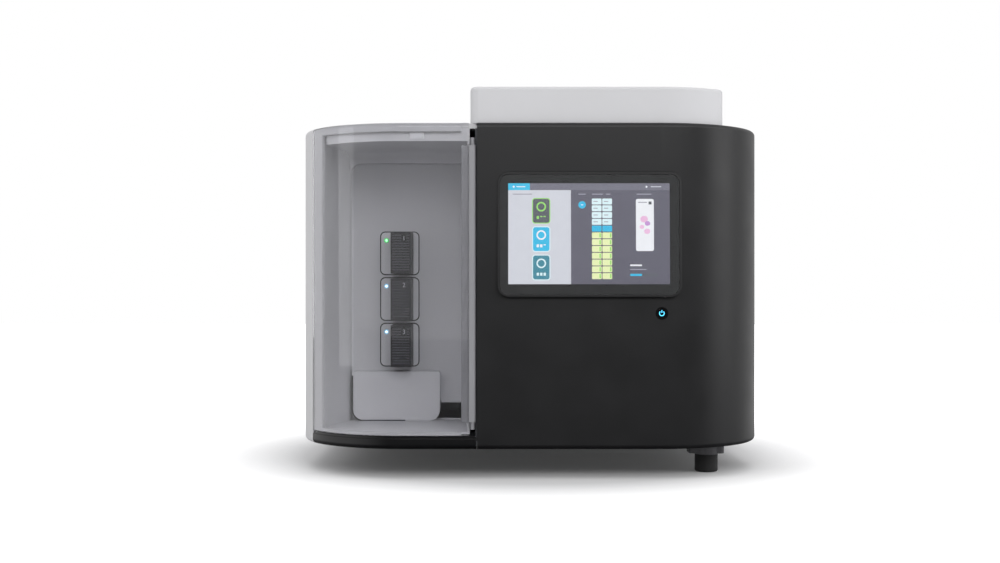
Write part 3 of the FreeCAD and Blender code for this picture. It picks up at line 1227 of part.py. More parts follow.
def build_stage(table_top):
    """Two crossed slides over the lamp; the upper one holds the slide that is being scanned."""
    x, y, gap = size.optic_x, size.optic_y, size.fit_gap
    lamp_top = size.lamp_height
    profile = [(0, 0), (size.lamp_radius, 0), (size.lamp_radius, lamp_top - size.lamp_cone),
               (size.lamp_lens_radius, lamp_top), (0, lamp_top)]
    part("illuminator", turned("lamp_body", x, y, table_top, profile))

    half_rail = size.rail_width / 2
    rail_top = table_top + size.rail_height
    rail_y = (size.optics_front, size.optics_front + size.rail_length)
    rails, grooves, blocks = [], [], []
    half_block = size.stage_block_width / 2
    block_y = (y - size.stage_block_length / 2, y + size.stage_block_length / 2)
    for side, rail_x in (("left", x - size.stage_rail_offset), ("right", x + size.stage_rail_offset)):
        rails.append(box(f"rail_{side}", (rail_x - half_rail, rail_x + half_rail), rail_y,
                         (table_top, rail_top)))
        grooves.append(box(f"groove_{side}", (rail_x - half_rail - gap, rail_x + half_rail + gap),
                           (rail_y[0], rail_y[1]), (table_top, rail_top + gap)))
        blocks.append(box(f"block_{side}", (rail_x - half_block, rail_x + half_block), block_y,
                          (table_top + gap, size.stage_y_z)))
    column_front = y + size.column_setback
    focus_low = size.focus_rail_bottom
    rails.append(box("rail_focus", (x - size.focus_rail_width / 2, x + size.focus_rail_width / 2),
                     (column_front - size.rail_height, column_front),
                     (focus_low, focus_low + size.focus_rail_height)))
    part("linear_rails", group("rail_group", *rails))

    plate_top = size.stage_y_z + size.stage_plate
    plate = slab("stage_y_plate", (x - size.stage_y_width / 2, x + size.stage_y_width / 2),
                 (y - size.stage_y_length / 2, y + size.stage_y_length / 2),
                 (size.stage_y_z, plate_top), "z", size.stage_round)
    half_upper = size.stage_x_rail_width / 2
    upper_top = plate_top + size.stage_x_rail_height
    upper_rails, upper_grooves, upper_blocks = [], [], []
    rail_x = (x - size.stage_y_width / 2 + size.stage_plate, x + size.stage_y_width / 2 - size.stage_plate)
    plate_x = (x - size.stage_x_width / 2, x + size.stage_x_width / 2)
    stage_x_low = plate_top + size.stage_x_lift
    for side, offset in (("front", -size.stage_rail_y), ("back", size.stage_rail_y)):
        middle = y + offset
        upper_rails.append(box(f"rail_{side}", rail_x, (middle - half_upper, middle + half_upper),
                               (plate_top, upper_top)))
        upper_grooves.append(box(f"groove_{side}", (rail_x[0] - PAST, rail_x[1] + PAST),
                                 (middle - half_upper - gap, middle + half_upper + gap),
                                 (plate_top, upper_top + gap)))
        half_wide = size.stage_x_block / 2
        upper_blocks.append(box(f"block_{side}", plate_x, (middle - half_wide, middle + half_wide),
                                (plate_top + gap, stage_x_low)))
    light_way = slab("stage_y_aperture", (x - size.aperture_width, x + size.aperture_width),
                     (y - size.aperture_length, y + size.aperture_length),
                     (size.stage_y_z - PAST, plate_top + PAST), "z", size.aperture_round)
    part("stage_y", cut("stage_y_cut", fuse("stage_y_fuse", plate, *blocks, *upper_rails), *grooves,
                        light_way))

    holder_top = stage_x_low + size.stage_x_plate
    upper = slab("stage_x_plate", plate_x, (y - size.stage_x_length / 2, y + size.stage_x_length / 2),
                 (stage_x_low, holder_top), "z", size.holder_round)
    half_long, half_wide = size.slide_length / 2, size.slide_width / 2
    floor = holder_top - size.holder_depth
    seat_gap = size.holder_gap
    seat = box("slide_seat", (x - half_long - seat_gap, x + half_long + seat_gap),
               (y - half_wide - seat_gap, y + half_wide + seat_gap), (floor, holder_top + PAST))
    window = slab("stage_x_aperture", (x - size.aperture_width / 2, x + size.aperture_width / 2),
                  (y - size.aperture_length / 2, y + size.aperture_length / 2),
                  (stage_x_low - PAST, holder_top + PAST), "z", size.holder_window_round)
    part("stage_x", cut("stage_x_cut", fuse("stage_x_fuse", upper, *upper_blocks), *upper_grooves, seat,
                        window))
    part("stage_slide", box("scanned_slide", (x - half_long, x + half_long), (y - half_wide, y + half_wide),
                            (floor, floor + size.slide_thickness)))


# ---- rack lift and gripper ----

def build_lift():
    """A tower with two rails and a driven screw, which raises the gripper's carriage."""
    x, gap = size.rack_x, size.fit_gap
    tower_y = (size.tower_y, size.tower_y + size.tower_thickness)
    rail_y = (size.tower_y - size.lift_rail_depth, size.tower_y)
    half = size.tower_width / 2
    plate = box("tower_plate", (x - half, x + half), tower_y, (BASE_TOP, size.tower_top))
    half_rail = size.lift_rail_width / 2
    rails = [box(f"lift_rail_{side}", (x + offset - half_rail, x + offset + half_rail), rail_y,
                 (size.lift_rail_bottom, size.tower_top))
             for side, offset in (("left", -size.lift_rail_offset), ("right", size.lift_rail_offset))]
    half_bearing = size.lift_bearing_width / 2
    bearing = box("upper_bearing", (x - half_bearing, x + half_bearing),
                  (size.screw_y - half_bearing, size.tower_y),
                  (size.tower_top - size.lift_bearing_height, size.tower_top))
    hole = rod("bearing_hole", size.lift_screw_radius + size.pin_clearance, "z", (x, size.screw_y),
               (size.tower_top - size.lift_bearing_height - PAST, size.tower_top + PAST))
    part("lift_tower", cut("tower_cut", fuse("tower_fuse", plate, bearing, *rails), hole))

    half_motor = size.motor_width / 2
    motor = slab("motor_slab", (x - half_motor, x + half_motor),
                 (size.screw_y - half_motor, size.screw_y + half_motor),
                 (BASE_TOP, BASE_TOP + size.motor_height), "z", size.motor_round)
    coupling = rod("motor_bore", size.lift_screw_radius + size.pin_clearance, "z", (x, size.screw_y),
                   (size.lift_screw_bottom - gap, BASE_TOP + size.motor_height + PAST))
    part("lift_motor", cut("motor_cut", motor, coupling))
    part("lift_screw", rod("screw_rod", size.lift_screw_radius, "z", (x, size.screw_y),
                           (size.lift_screw_bottom, size.lift_screw_top)))

    low = shelf_top() - size.lift_arm_height
    high = low + size.lift_block_height
    half_block = size.lift_block_width / 2
    block = box("lift_block", (x - half_block, x + half_block),
                (size.lift_block_front, size.tower_y - gap), (low, high))
    grooves = [box(f"lift_groove_{side}", (x + offset - half_rail - gap, x + offset + half_rail + gap),
                   (rail_y[0] - gap, rail_y[1]), (low - PAST, high + PAST))
               for side, offset in (("left", -size.lift_rail_offset), ("right", size.lift_rail_offset))]
    nut = rod("nut_bore", size.lift_screw_radius + size.pin_clearance, "z", (x, size.screw_y),
              (low - PAST, high + PAST))
    half_arm = size.lift_arm_width / 2
    shelf = box("lift_shelf", (x - half_arm, x + half_arm),
                (size.lift_arm_front, size.lift_block_front + PAST),
                (low, low + size.lift_arm_height))
    part("lift_carriage", cut("lift_cut", fuse("lift_fuse", block, shelf), *grooves, nut))


def finger_level():
    """The height between the gripper's fingers: the middle of one slide of the middle rack."""
    low = size.rack_middle_z - size.rack_height / 2 + size.slot_start
    return low + size.slot_pitch * size.level_slide + size.slide_thickness / 2


def arm_low():
    return finger_level() + size.finger_gap / 2 + size.finger_thickness - size.arm_height


def turret_top():
    """The top of the turret's disc, under the guide that the arm slides in."""
    return arm_low() - size.fit_gap - size.guide_height + size.guide_groove


def shelf_top():
    return turret_top() - size.turret_height - size.fit_gap


def build_gripper():
    """A turret that turns on the carriage, and an arm that reaches out of it for a slide."""
    x, y, gap = size.rack_x, size.pivot_y, size.fit_gap
    disc_top = turret_top()
    turret_low = disc_top - size.turret_height
    disc = rod("turret_disc", size.turret_radius, "z", (x, y), (turret_low, disc_top))
    half = size.guide_width / 2
    guide = box("turret_guide", (x - half, x + half), (y - size.guide_front, y + size.guide_back),
                (disc_top, disc_top + size.guide_height))
    half_arm = size.arm_width / 2
    floor = disc_top + size.guide_height - size.guide_groove
    groove = box("turret_groove", (x - half_arm - gap, x + half_arm + gap),
                 (y - size.guide_front - PAST, y + size.guide_back + PAST),
                 (floor, floor + size.arm_height))
    part("gripper_turret", cut("turret_cut", fuse("turret_fuse", disc, guide), groove))

    low = arm_low()
    tip = y - size.arm_front
    bar = box("arm_bar", (x - half_arm, x + half_arm), (tip, y + size.arm_back),
              (low, low + size.arm_height))
    half_finger = size.finger_width / 2
    middle = finger_level()
    finger_y = (tip - size.finger_length, tip + PAST)
    reach = size.finger_gap / 2 + size.finger_thickness
    jaw = box("jaw_block", (x - half_finger, x + half_finger), (tip - PAST, tip + size.finger_length / 2),
              (low + PAST, middle + reach))
    upper = box("upper_finger", (x - half_finger, x + half_finger), finger_y,
                (middle + size.finger_gap / 2, middle + reach))
    lower = box("lower_finger", (x - half_finger, x + half_finger), finger_y,
                (middle - reach, middle - size.finger_gap / 2))
    part("gripper_arm", fuse("arm_fuse", bar, jaw, upper, lower))


# ---- the whole scanner ----

def build_scanner():
    casing, ring = build_casing()
    build_rear_panel(ring)
    build_top_deck()
    build_hood()
    build_base()
    build_frame()
    build_feet()
    build_door(casing)
    build_liner()
    build_ports()
    for number, z in enumerate(rack_heights(), start=1):
        build_rack(number, z)
    build_display()
    build_button()
    build_inlet()
    build_sockets()
    build_screws()
    build_fans()
    build_electronics()
    table_top, column_front = build_optics_base()
    build_microscope(column_front)
    build_stage(table_top)
    build_lift()
    build_gripper()
    DOC.recompute()


def check():
    """Stops if any object of the document failed or any sub-part has no good shape."""
    for item in DOC.Objects:
        if "Invalid" in item.State or "Error" in item.State:
            raise RuntimeError(f"{item.Label} failed: {item.State}")
    for item in PARTS:
        if item.Shape.isNull() or not item.Shape.isValid() or not item.Shape.Solids:
            raise RuntimeError(f"{item.Label} has no good shape")


build_scanner()
check()
os.makedirs("parts", exist_ok=True)
for item in PARTS:
    item.Shape.exportStep(f"parts/{item.Label}.step")
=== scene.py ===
# %% [markdown]
# # A slide scanner, dressed for its picture
# The solids already have their true sizes, so this file only gives them their looks.
# Everything is in metres: +Z is up, the front faces -Y, and the floor is at Z = 0.

import json
import math

import bmesh
import bpy
from mathutils import Matrix, Vector


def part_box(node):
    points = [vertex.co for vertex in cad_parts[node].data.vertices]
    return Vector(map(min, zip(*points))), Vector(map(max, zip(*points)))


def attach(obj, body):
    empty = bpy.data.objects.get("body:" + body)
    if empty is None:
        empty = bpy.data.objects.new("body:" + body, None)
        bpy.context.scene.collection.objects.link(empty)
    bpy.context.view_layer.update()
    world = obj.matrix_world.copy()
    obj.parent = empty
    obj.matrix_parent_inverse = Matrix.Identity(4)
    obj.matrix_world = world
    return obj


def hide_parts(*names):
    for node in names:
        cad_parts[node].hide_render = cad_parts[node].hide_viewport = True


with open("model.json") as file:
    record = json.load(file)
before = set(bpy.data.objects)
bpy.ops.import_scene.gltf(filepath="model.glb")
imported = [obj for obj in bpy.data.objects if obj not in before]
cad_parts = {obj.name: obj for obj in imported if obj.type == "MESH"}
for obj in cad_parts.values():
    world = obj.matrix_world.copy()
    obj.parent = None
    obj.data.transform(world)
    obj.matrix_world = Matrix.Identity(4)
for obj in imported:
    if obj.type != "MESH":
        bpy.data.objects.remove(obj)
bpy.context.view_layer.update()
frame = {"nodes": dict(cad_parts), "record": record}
nodes = frame["nodes"]
MM = 0.001
print("solids:", len(nodes))

# %% [markdown]
# ## The camera
# A 50 mm lens stands a little under two metres in front of the scanner, at half its height.
# It looks straight at it, so upright edges stay upright. A tiny shift centres the frame.

# %% Camera
scene = bpy.context.scene
camera = bpy.data.objects.new("camera", bpy.data.cameras.new("camera"))
scene.collection.objects.link(camera)
camera.data.lens = 50
camera.data.sensor_width = 36
camera.data.shift_y = 0.0035
camera.location = (-0.043, -2.154, 0.260)
camera.rotation_euler = (math.radians(90), 0, 0)
scene.camera = camera
scene.view_settings.view_transform = "Standard"
print("camera at", tuple(camera.location))

# %% [markdown]
# ## Helpers for materials
# A colour is written as designers write it, in sRGB hex, and turned to linear light here.
# One helper adds a node with its settings and links, whatever its kind. The rest are short
# names for the nodes that are used most: a noise, a mix, a slope, a sum and a bump.

# %% Material helpers
def linear(hex_colour):
    """Turns an sRGB hex colour into linear red, green, blue and alpha."""
    parts = [int(hex_colour[i:i + 2], 16) / 255 for i in (0, 2, 4)]
    light = [c / 12.92 if c <= 0.04045 else ((c + 0.055) / 1.055) ** 2.4 for c in parts]
    return (*light, 1)


def socket_named(sockets, name):
    """The socket of that name that is in use: a Mix node has one for every type of data."""
    return next(socket for socket in sockets if socket.name == name and socket.enabled)


def add_node(tree, kind, inputs=None, **settings):
    """Adds a node. An input is given a value, or the node or socket that feeds it."""
    node = tree.nodes.new(kind)
    for name, value in settings.items():
        setattr(node, name, value)
    for name, value in (inputs or {}).items():
        socket = node.inputs[name] if isinstance(name, int) else socket_named(node.inputs, name)
        if isinstance(value, bpy.types.Node):
            value = next(output for output in value.outputs if output.enabled)
        if isinstance(value, bpy.types.NodeSocket):
            tree.links.new(value, socket)
        else:
            socket.default_value = value
    return node


def feed(shader, **sources):
    """Links nodes to the sockets of a shader. A long name is written with underscores."""
    for name, source in sources.items():
        output = next(output for output in source.outputs if output.enabled)
        shader.id_data.links.new(output, shader.inputs[name.replace("_", " ")])


def start_material(name, **inputs):
    """A new material with its main shader, whose even values are set on its own sockets."""
    material = bpy.data.materials.new(name)
    material.use_nodes = True
    shader = material.node_tree.nodes["Principled BSDF"]
    for socket, value in inputs.items():
        shader.inputs[socket.replace("_", " ")].default_value = value
    return material, material.node_tree, shader


def object_point(tree):
    """Where a point lies on the object, in metres."""
    return add_node(tree, "ShaderNodeTexCoord").outputs["Object"]


def noise(tree, size, detail=2, stretch=(1, 1, 1)):
    """A noise whose blotches are about size millimetres, stretched along the object's axes."""
    point = add_node(tree, "ShaderNodeMapping", {"Vector": object_point(tree), "Scale": stretch})
    return add_node(tree, "ShaderNodeTexNoise", {"Vector": point, "Scale": 1 / (size * MM),
                                                 "Detail": detail})


def mix(tree, share, first, second, kind="RGBA"):
    """A mix of two colours, or of two numbers if kind is FLOAT. A share of 1 is all second."""
    return add_node(tree, "ShaderNodeMix", {"Factor": share, "A": first, "B": second},
                    data_type=kind)


def mapped(tree, value, start, end, low, high, **settings):
    """A number that goes from low to high while value goes from start to end."""
    return add_node(tree, "ShaderNodeMapRange", {"Value": value, "From Min": start, "From Max": end,
                                                 "To Min": low, "To Max": high}, **settings)


def calculate(tree, operation, first, second):
    """Two numbers put together by a Math node."""
    return add_node(tree, "ShaderNodeMath", {0: first, 1: second}, operation=operation)


def relief(tree, height, strength, depth):
    """A bump that is up to depth millimetres high."""
    return add_node(tree, "ShaderNodeBump", {"Height": height, "Strength": strength,
                                             "Distance": depth * MM})


def dress(names, material):
    """Gives CAD nodes a material."""
    for name in names.split():
        nodes[name].data.materials.clear()
        nodes[name].data.materials.append(material)


# %% [markdown]
# ## Moulded covers
# The covers are injection-moulded ABS. Their mould is spark-eroded, which leaves a fine matt
# grain of about 0.4 mm. It is drawn as a bump of that size, with a slow change in roughness
# where the plastic flowed, so that a large flat face isn't dead.

# %% Moulded plastic
NOISE_LOW, NOISE_HIGH = 0.3, 0.7    # a noise rarely leaves this span


def moulded(name, low, high, roughness, grain=0.4, depth=0.02, flow=60, **inputs):
    """Moulded plastic: two near colours, with a grain and a flow pattern in millimetres."""
    material, tree, shader = start_material(name, IOR=1.5, **inputs)
    slow, fine = noise(tree, flow, 3), noise(tree, grain)
    rough = mapped(tree, slow, NOISE_LOW, NOISE_HIGH, roughness - 0.04, roughness + 0.04)
    feed(shader, Base_Color=mix(tree, slow, linear(low), linear(high)), Roughness=rough,
         Normal=relief(tree, fine, 0.4, depth))
    return material


black_abs = moulded("black ABS, spark-eroded", "0F0F11", "151518", 0.42)
pale_abs = moulded("pale grey ABS, spark-eroded", "C9C9CB", "D0D0D2", 0.55)
hood_abs = moulded("light grey ABS, spark-eroded", "C8C8CA", "CECED1", 0.6)
bay_abs = moulded("grey ABS, satin moulded", "D2D2D5", "D9D9DC", 0.45)
port_abs = moulded("pale grey polycarbonate, moulded", "E4E4E7", "EAEAED", 0.4)
dark_nylon = moulded("black nylon, moulded", "17171A", "202024", 0.5, grain=0.6)
rack_abs = moulded("graphite acetal, moulded", "1D1D21", "26262B", 0.4, grain=0.7)
satin_black_and_recess_shade = moulded("black ABS, fine satin moulded", "050506", "09090B", 0.5, grain=0.3,
                      depth=0.006, Specular_IOR_Level=0.12)
rim_abs = moulded("light grey polycarbonate, satin moulded", "BDBDC0", "C6C6C9", 0.35)
stile_abs = moulded("grey polycarbonate, satin moulded", "8A8A8E", "939397", 0.35)
dress("front_cover display_bezel", black_abs)
dress("left_housing right_panel top_deck", pale_abs)
dress("top_hood", hood_abs)
dress("bay_liner bay_lower_panel", bay_abs)
dress("rack_ports door_catch", port_abs)
dress("rack_1 rack_2 rack_3", rack_abs)
dress("door_rim", rim_abs)
dress("door_stile door_hinge_brackets", stile_abs)
# The power button's ring is near-black partly as its own colour and partly as painted shade,
# standing for the shadow in its recess.
dress("power_button_ring power_button_cap mains_rocker", satin_black_and_recess_shade)
dress("power_switch mains_inlet fan_housings fan_rotor_1 fan_rotor_2", dark_nylon)
print("moulded finishes are on")

# %% [markdown]
# ## Polished base strip
# The strip under the door is polished ABS. Its grain is gone, so only a faint orange peel
# of some 6 mm is left, which bends what it mirrors a little.

# %% Polished plastic
def polished(name, low, high, roughness, peel=6, depth=0.015):
    """Polished plastic with orange peel."""
    return moulded(name, low, high, roughness, grain=peel, depth=depth, flow=90)


gloss_abs = polished("black ABS, polished", "08080A", "0E0E10", 0.12)
dress("base_trim", gloss_abs)

# %% [markdown]
# ## Clear door
# The door is 5 mm of acrylic, smoked a little. It is clear glass to the shader, with the
# refraction of acrylic. A shadow ray goes straight through, because a renderer can't find
# the lamps through a bent surface, and the bay behind would stay black.

# %% Clear acrylic
def clear(name, tint, roughness, ior, haze=35):
    """A clear moulding. Its shadow is only tinted."""
    material, tree, shader = start_material(name, Base_Color=linear(tint), IOR=ior,
                                            Transmission_Weight=1.0)
    feed(shader, Roughness=mapped(tree, noise(tree, haze, 3), 0.35, 0.75, roughness, roughness * 2))
    rays = add_node(tree, "ShaderNodeLightPath").outputs
    through = add_node(tree, "ShaderNodeBsdfTransparent", {"Color": linear(tint)})
    mixed = add_node(tree, "ShaderNodeMixShader", {"Fac": rays["Is Shadow Ray"]})
    tree.links.new(shader.outputs["BSDF"], mixed.inputs[1])
    tree.links.new(through.outputs["BSDF"], mixed.inputs[2])
    tree.links.new(mixed.outputs["Shader"], tree.nodes["Material Output"].inputs["Surface"])
    return material


smoked_acrylic = clear("smoked acrylic, cast and bent", "EFEFF1", 0.012, 1.49)
dress("door_window", smoked_acrylic)

# %% [markdown]
# ## Metals
# Sheet steel comes zinc-plated, and its zinc grew in spangles of a few millimetres. Machined
# aluminium is anodised, which leaves it satin, with the cutter's fine lines running one way.
# Hardened steel rails are ground along their length, and the hinge's pins are blackened. All
# of them share one recipe: a metal with a stretched noise for its lines.

# %% Metals
def metal(name, low, high, roughness, size=0.5, stretch=(1, 1, 1), depth=0.004, spread=0.08):
    """A metal with its surface's lines or spangles, whose size is in millimetres."""
    material, tree, shader = start_material(name, Metallic=1.0)
    lines = noise(tree, size, 3, stretch)
    rough = mapped(tree, lines, NOISE_LOW, NOISE_HIGH, roughness, roughness + spread)
    feed(shader, Base_Color=mix(tree, lines, linear(low), linear(high)), Roughness=rough,
         Normal=relief(tree, lines, 0.3, depth))
    return material


zinc_sheet = metal("zinc-plated sheet steel", "A9ADB1", "BFC3C6", 0.34, size=5)
milled_aluminium = metal("anodised aluminium, milled", "BEBFC2", "CBCCCE", 0.33, size=0.6,
                         stretch=(1, 0.05, 1))
black_steel = metal("carbon steel, black oxide", "26262A", "303034", 0.42, size=0.6)
black_aluminium = metal("black anodised aluminium", "1B1B1E", "28282B", 0.38, size=0.6,
                        stretch=(0.05, 1, 1))
ground_steel = metal("hardened steel, ground", "9A9C9F", "B4B6B8", 0.2, size=0.4,
                     stretch=(1, 1, 0.04))
rail_steel = metal("hardened steel rail, ground", "96989B", "B0B2B4", 0.22, size=0.4,
                   stretch=(0.04, 1, 1))
nickel = metal("nickel-plated steel", "B9B5AC", "C8C4BC", 0.22, size=3)
dress("base_plate power_supply", zinc_sheet)
dress("optics_column lift_tower lift_carriage gripper_turret focus_carriage", milled_aluminium)
dress("scan_camera illuminator stage_y stage_x lift_motor gripper_arm", black_aluminium)
dress("lift_screw", ground_steel)
dress("door_hinge_pins", black_steel)
dress("linear_rails", rail_steel)
dress("network_sockets objective cover_screws", nickel)

# %% [markdown]
# ## Painted and cast metal
# Powder coat flows out into an orange peel of one to two millimetres. The rear panel, the
# frame and the feet's plates have it. The scanning table is cast iron under the same coat,
# so its peel is coarser.

# %% Powder coat
def powder_coat(name, low, high, roughness, peel=1.6, depth=0.03):
    """Powder-coated metal: the coat decides the look, so it isn't metallic."""
    return moulded(name, low, high, roughness, grain=peel, depth=depth, flow=120)


dress("rear_panel", powder_coat("light grey powder-coated steel", "B4B4B7", "BCBCBF", 0.42))
dress("inner_frame", powder_coat("slate powder-coated steel", "4A4C51", "54565B", 0.45))
dress("foot_mounts", powder_coat("dark grey powder-coated steel", "4C4C4F", "59595C", 0.4))
dress("optics_base", powder_coat("grey enamelled cast iron", "5B5D62", "66686D", 0.5, peel=3,
                                 depth=0.06))

# %% [markdown]
# ## Rubber
# The feet and the table's mounts are moulded rubber: dark, dull, a little dusty, with a
# sheen along the edges.

# %% Rubber
rubber, tree, shader = start_material("black rubber, moulded", Sheen_Weight=0.12,
                                      Sheen_Roughness=0.5)
dust, skin = noise(tree, 12, 4), noise(tree, 0.6)
feed(shader, Base_Color=mix(tree, dust, linear("0F0F10"), linear("1D1D1E")),
     Roughness=mapped(tree, dust, 0, 1, 0.55, 0.8), Normal=relief(tree, skin, 0.4, 0.03))
dress("foot_pads isolators", rubber)

# %% [markdown]
# ## Slides, circuit board and screen
# A slide is 1 mm of clear glass with one frosted end, 20 mm long, to write on. A circuit board
# is glass fibre under green solder mask, with a weave that shows through faintly.

# %% Slide glass, board, screen
def slide_glass(name, axis, edge):
    """Slide glass that is frosted up to an edge, which is a place along an axis in metres."""
    material, tree, shader = start_material(name, IOR=1.52)
    place = add_node(tree, "ShaderNodeSeparateXYZ", {"Vector": object_point(tree)})
    frosted = calculate(tree, "LESS_THAN", place.outputs[axis], edge)
    paint = mix(tree, noise(tree, 1.5), linear("DDE3E6"), linear("F0F2F2"))
    feed(shader, Base_Color=mix(tree, frosted, linear("E9F5F1"), paint),
         Roughness=mapped(tree, frosted, 0, 1, 0.03, 0.6),
         Alpha=mapped(tree, frosted, 0, 1, 0.35, 0.95))
    return material


frosted_end = 20 * MM
racked_front = min(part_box(f"slides_{number}")[0].y for number in (1, 2, 3))
dress("slides_1 slides_2 slides_3", slide_glass("slide glass, label end frosted", "Y",
                                                racked_front + frosted_end))
dress("stage_slide", slide_glass("slide glass on the stage", "X",
                                 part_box("stage_slide")[0].x + frosted_end))

board, tree, shader = start_material("glass fibre under green solder mask", Roughness=0.3, IOR=1.5)
weave = add_node(tree, "ShaderNodeTexBrick", {
    "Vector": object_point(tree), "Scale": 1 / (2 * MM), "Color1": linear("0E3A24"),
    "Color2": linear("124429"), "Mortar": linear("0A2E1C")})
feed(shader, Base_Color=weave)
dress("control_board", board)

panel = moulded("unlit liquid crystal panel", "0B0C12", "0F1017", 0.25, grain=0.25, depth=0.002)
dress("lcd_panel", panel)
cover_glass = clear("chemically hardened glass", "F4F6F8", 0.01, 1.5)
dress("display_glass", cover_glass)
light_pipe = clear("frosted polycarbonate light pipe", "E8F2F8", 0.2, 1.58)
dress("status_lights power_symbol", light_pipe)
undressed = [name for name, item in nodes.items() if len(item.data.materials) != 1]
print("nodes still without a finish of their own:", undressed)

# %% [markdown]
# ## Helpers for shapes
# Many small pieces here are flat plates with round corners. One helper gives the outline,
# another turns outlines into a closed plate, and a third makes a finished object of it that
# rides on its body. An object stays at the origin: its place is in its mesh.

# %% Shape helpers
def rounded(x, z, radius, steps=6):
    """The outline of a rectangle with round corners, from its spans across and up."""
    corners = [(x[1] - radius, z[1] - radius, 0), (x[0] + radius, z[1] - radius, 90),
               (x[0] + radius, z[0] + radius, 180), (x[1] - radius, z[0] + radius, 270)]
    return [(cx + radius * math.cos(math.radians(turn + 90 * step / steps)),
             cz + radius * math.sin(math.radians(turn + 90 * step / steps)))
            for cx, cz, turn in corners for step in range(steps + 1)]


def upright(x, z, depth):
    """A place in millimetres on the scanner, as a point in metres."""
    return Vector((x, depth, z)) * MM


def band(shape, first, second):
    """The faces between two loops that have as many points."""
    count = len(first)
    return [shape.faces.new((first[i], first[(i + 1) % count], second[(i + 1) % count], second[i]))
            for i in range(count)]


def add_plate(shape, outline, near, far, place=upright, slot=0, hole=None):
    """A closed plate between two depths. A hole's outline has as many points as its own."""
    rings = [[shape.verts.new(place(x, z, depth)) for x, z in loop]
             for loop in ([outline] if hole is None else [outline, hole]) for depth in (near, far)]
    faces = []
    for front, back in zip(rings[::2], rings[1::2]):
        faces += band(shape, front, back)
    if hole is None:
        faces += [shape.faces.new(rings[0]), shape.faces.new(rings[1])]
    else:
        faces += band(shape, rings[0], rings[2]) + band(shape, rings[1], rings[3])
    for face in faces:
        face.material_index = slot


def plain_mesh(carrier):
    """The finished mesh of an object, with its modifiers applied. The object goes."""
    finished = carrier.evaluated_get(bpy.context.evaluated_depsgraph_get())
    mesh = bpy.data.meshes.new_from_object(finished)
    bpy.data.objects.remove(carrier)
    return mesh


def finish_mesh(name, mesh, materials, body, slot, replaced=(), smooth=35):
    """Gives a mesh its materials, its smooth curves and the body that it rides on."""
    for material in materials:
        mesh.materials.append(material)
    for polygon in mesh.polygons:
        polygon.use_smooth = True
    mesh.set_sharp_from_angle(angle=math.radians(smooth))
    piece = bpy.data.objects.new(name, mesh)
    scene.collection.objects.link(piece)
    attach(piece, body)
    if replaced:
        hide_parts(*replaced)
    return piece


def finish_piece(name, shape, *details, **more):
    """The same for a shape that is still being edited, whose faces are turned outwards first."""
    bmesh.ops.recalc_face_normals(shape, faces=shape.faces)
    mesh = bpy.data.meshes.new(name)
    shape.to_mesh(mesh)
    shape.free()
    return finish_mesh(name, mesh, *details, **more)


# %% [markdown]
# ## What glows
# The screen, the lights and the power symbol shine by themselves. Their colours are given as
# they are seen, and a faint unevenness stands for the diffuser in front of the diodes.

# %% Lit colours
def lit(name, colour, brighter, strength=1.0, patch=9):
    """A colour that glows, uneven over patches of some millimetres."""
    material, tree, shader = start_material(name, Base_Color=linear("0A0A0C"), Roughness=0.4,
                                            Emission_Strength=strength)
    feed(shader, Emission_Color=mix(tree, noise(tree, patch), linear(colour), linear(brighter)))
    return material


picture_colours = {
    "slate": ("4F4C5C", "5C5969"), "bar": ("6A6776", "72707E"), "pale": ("D2D3DB", "DADBE2"),
    "cyan": ("00B4E0", "0CC8F4"), "green": ("8FDC5A", "A6EC74"), "lime": ("EDF7AE", "F6FCC2"),
    "ice": ("DCF6FA", "EAFCFF"), "white": ("F2F2F6", "FCFCFF"), "teal": ("1F7D90", "2A8CA0"),
    "dark": ("4A4E55", "565A62"), "rose": ("F0B4DC", "F6C8E8"), "violet": ("C48AD0", "D09CDC"),
    "grey": ("9A98A6", "A6A4B2"),
}
picture = {name: lit(f"lit screen, {name}", *pair) for name, pair in picture_colours.items()}
print("screen colours:", len(picture))

# %% [markdown]
# ## The screen
# The screen leans back by 2.4 degrees in its bezel. Its cover glass is black behind its edge,
# where the maker printed it to hide the panel's frame, so the black starts before the picture
# does. The picture is a made-up page: three gauges on a pale pane, a grid of slide places
# and a card with a stained sample. All of it is thin plates just behind the glass.

# %% Screen
bezel_top, lean = 411.5, math.asin(7 / 167.5)
front_face = -293.0


def on_screen(x, drop, depth):
    """A point of the leaning screen: across, down from its top edge, and behind its face."""
    return upright(x, bezel_top - drop * math.cos(lean) - depth * math.sin(lean),
                   front_face - drop * math.sin(lean) + depth * math.cos(lean))


print_black = moulded("black ceramic print under glass", "040405", "070708", 0.6, grain=0.2,
                      depth=0.002, Specular_IOR_Level=0.05)
glass_x, glass_drop = (-43.1, 196.9), (3.3, 164.2)
view_x, view_drop = (-32.0, 184.3), (15.1, 150.5)
glass = bmesh.new()
add_plate(glass, rounded(glass_x, glass_drop, 11.7, 10), 0.0, 1.6, on_screen)
finish_piece("cover_glass", glass, [cover_glass], "housing", "cover_glass", ["display_glass"])
print_ring = bmesh.new()
print_edge = rounded((glass_x[0] + 0.2, glass_x[1] - 0.2),
                     (glass_drop[0] + 0.2, glass_drop[1] - 0.2), 11.5, 10)
add_plate(print_ring, print_edge, 1.64, 1.70, on_screen, hole=rounded(view_x, view_drop, 0.5, 10))
finish_piece("glass_border_print", print_ring, [print_black], "housing", "gloss_black")

colour_slots = {name: index for index, name in enumerate(picture)}
page = bmesh.new()


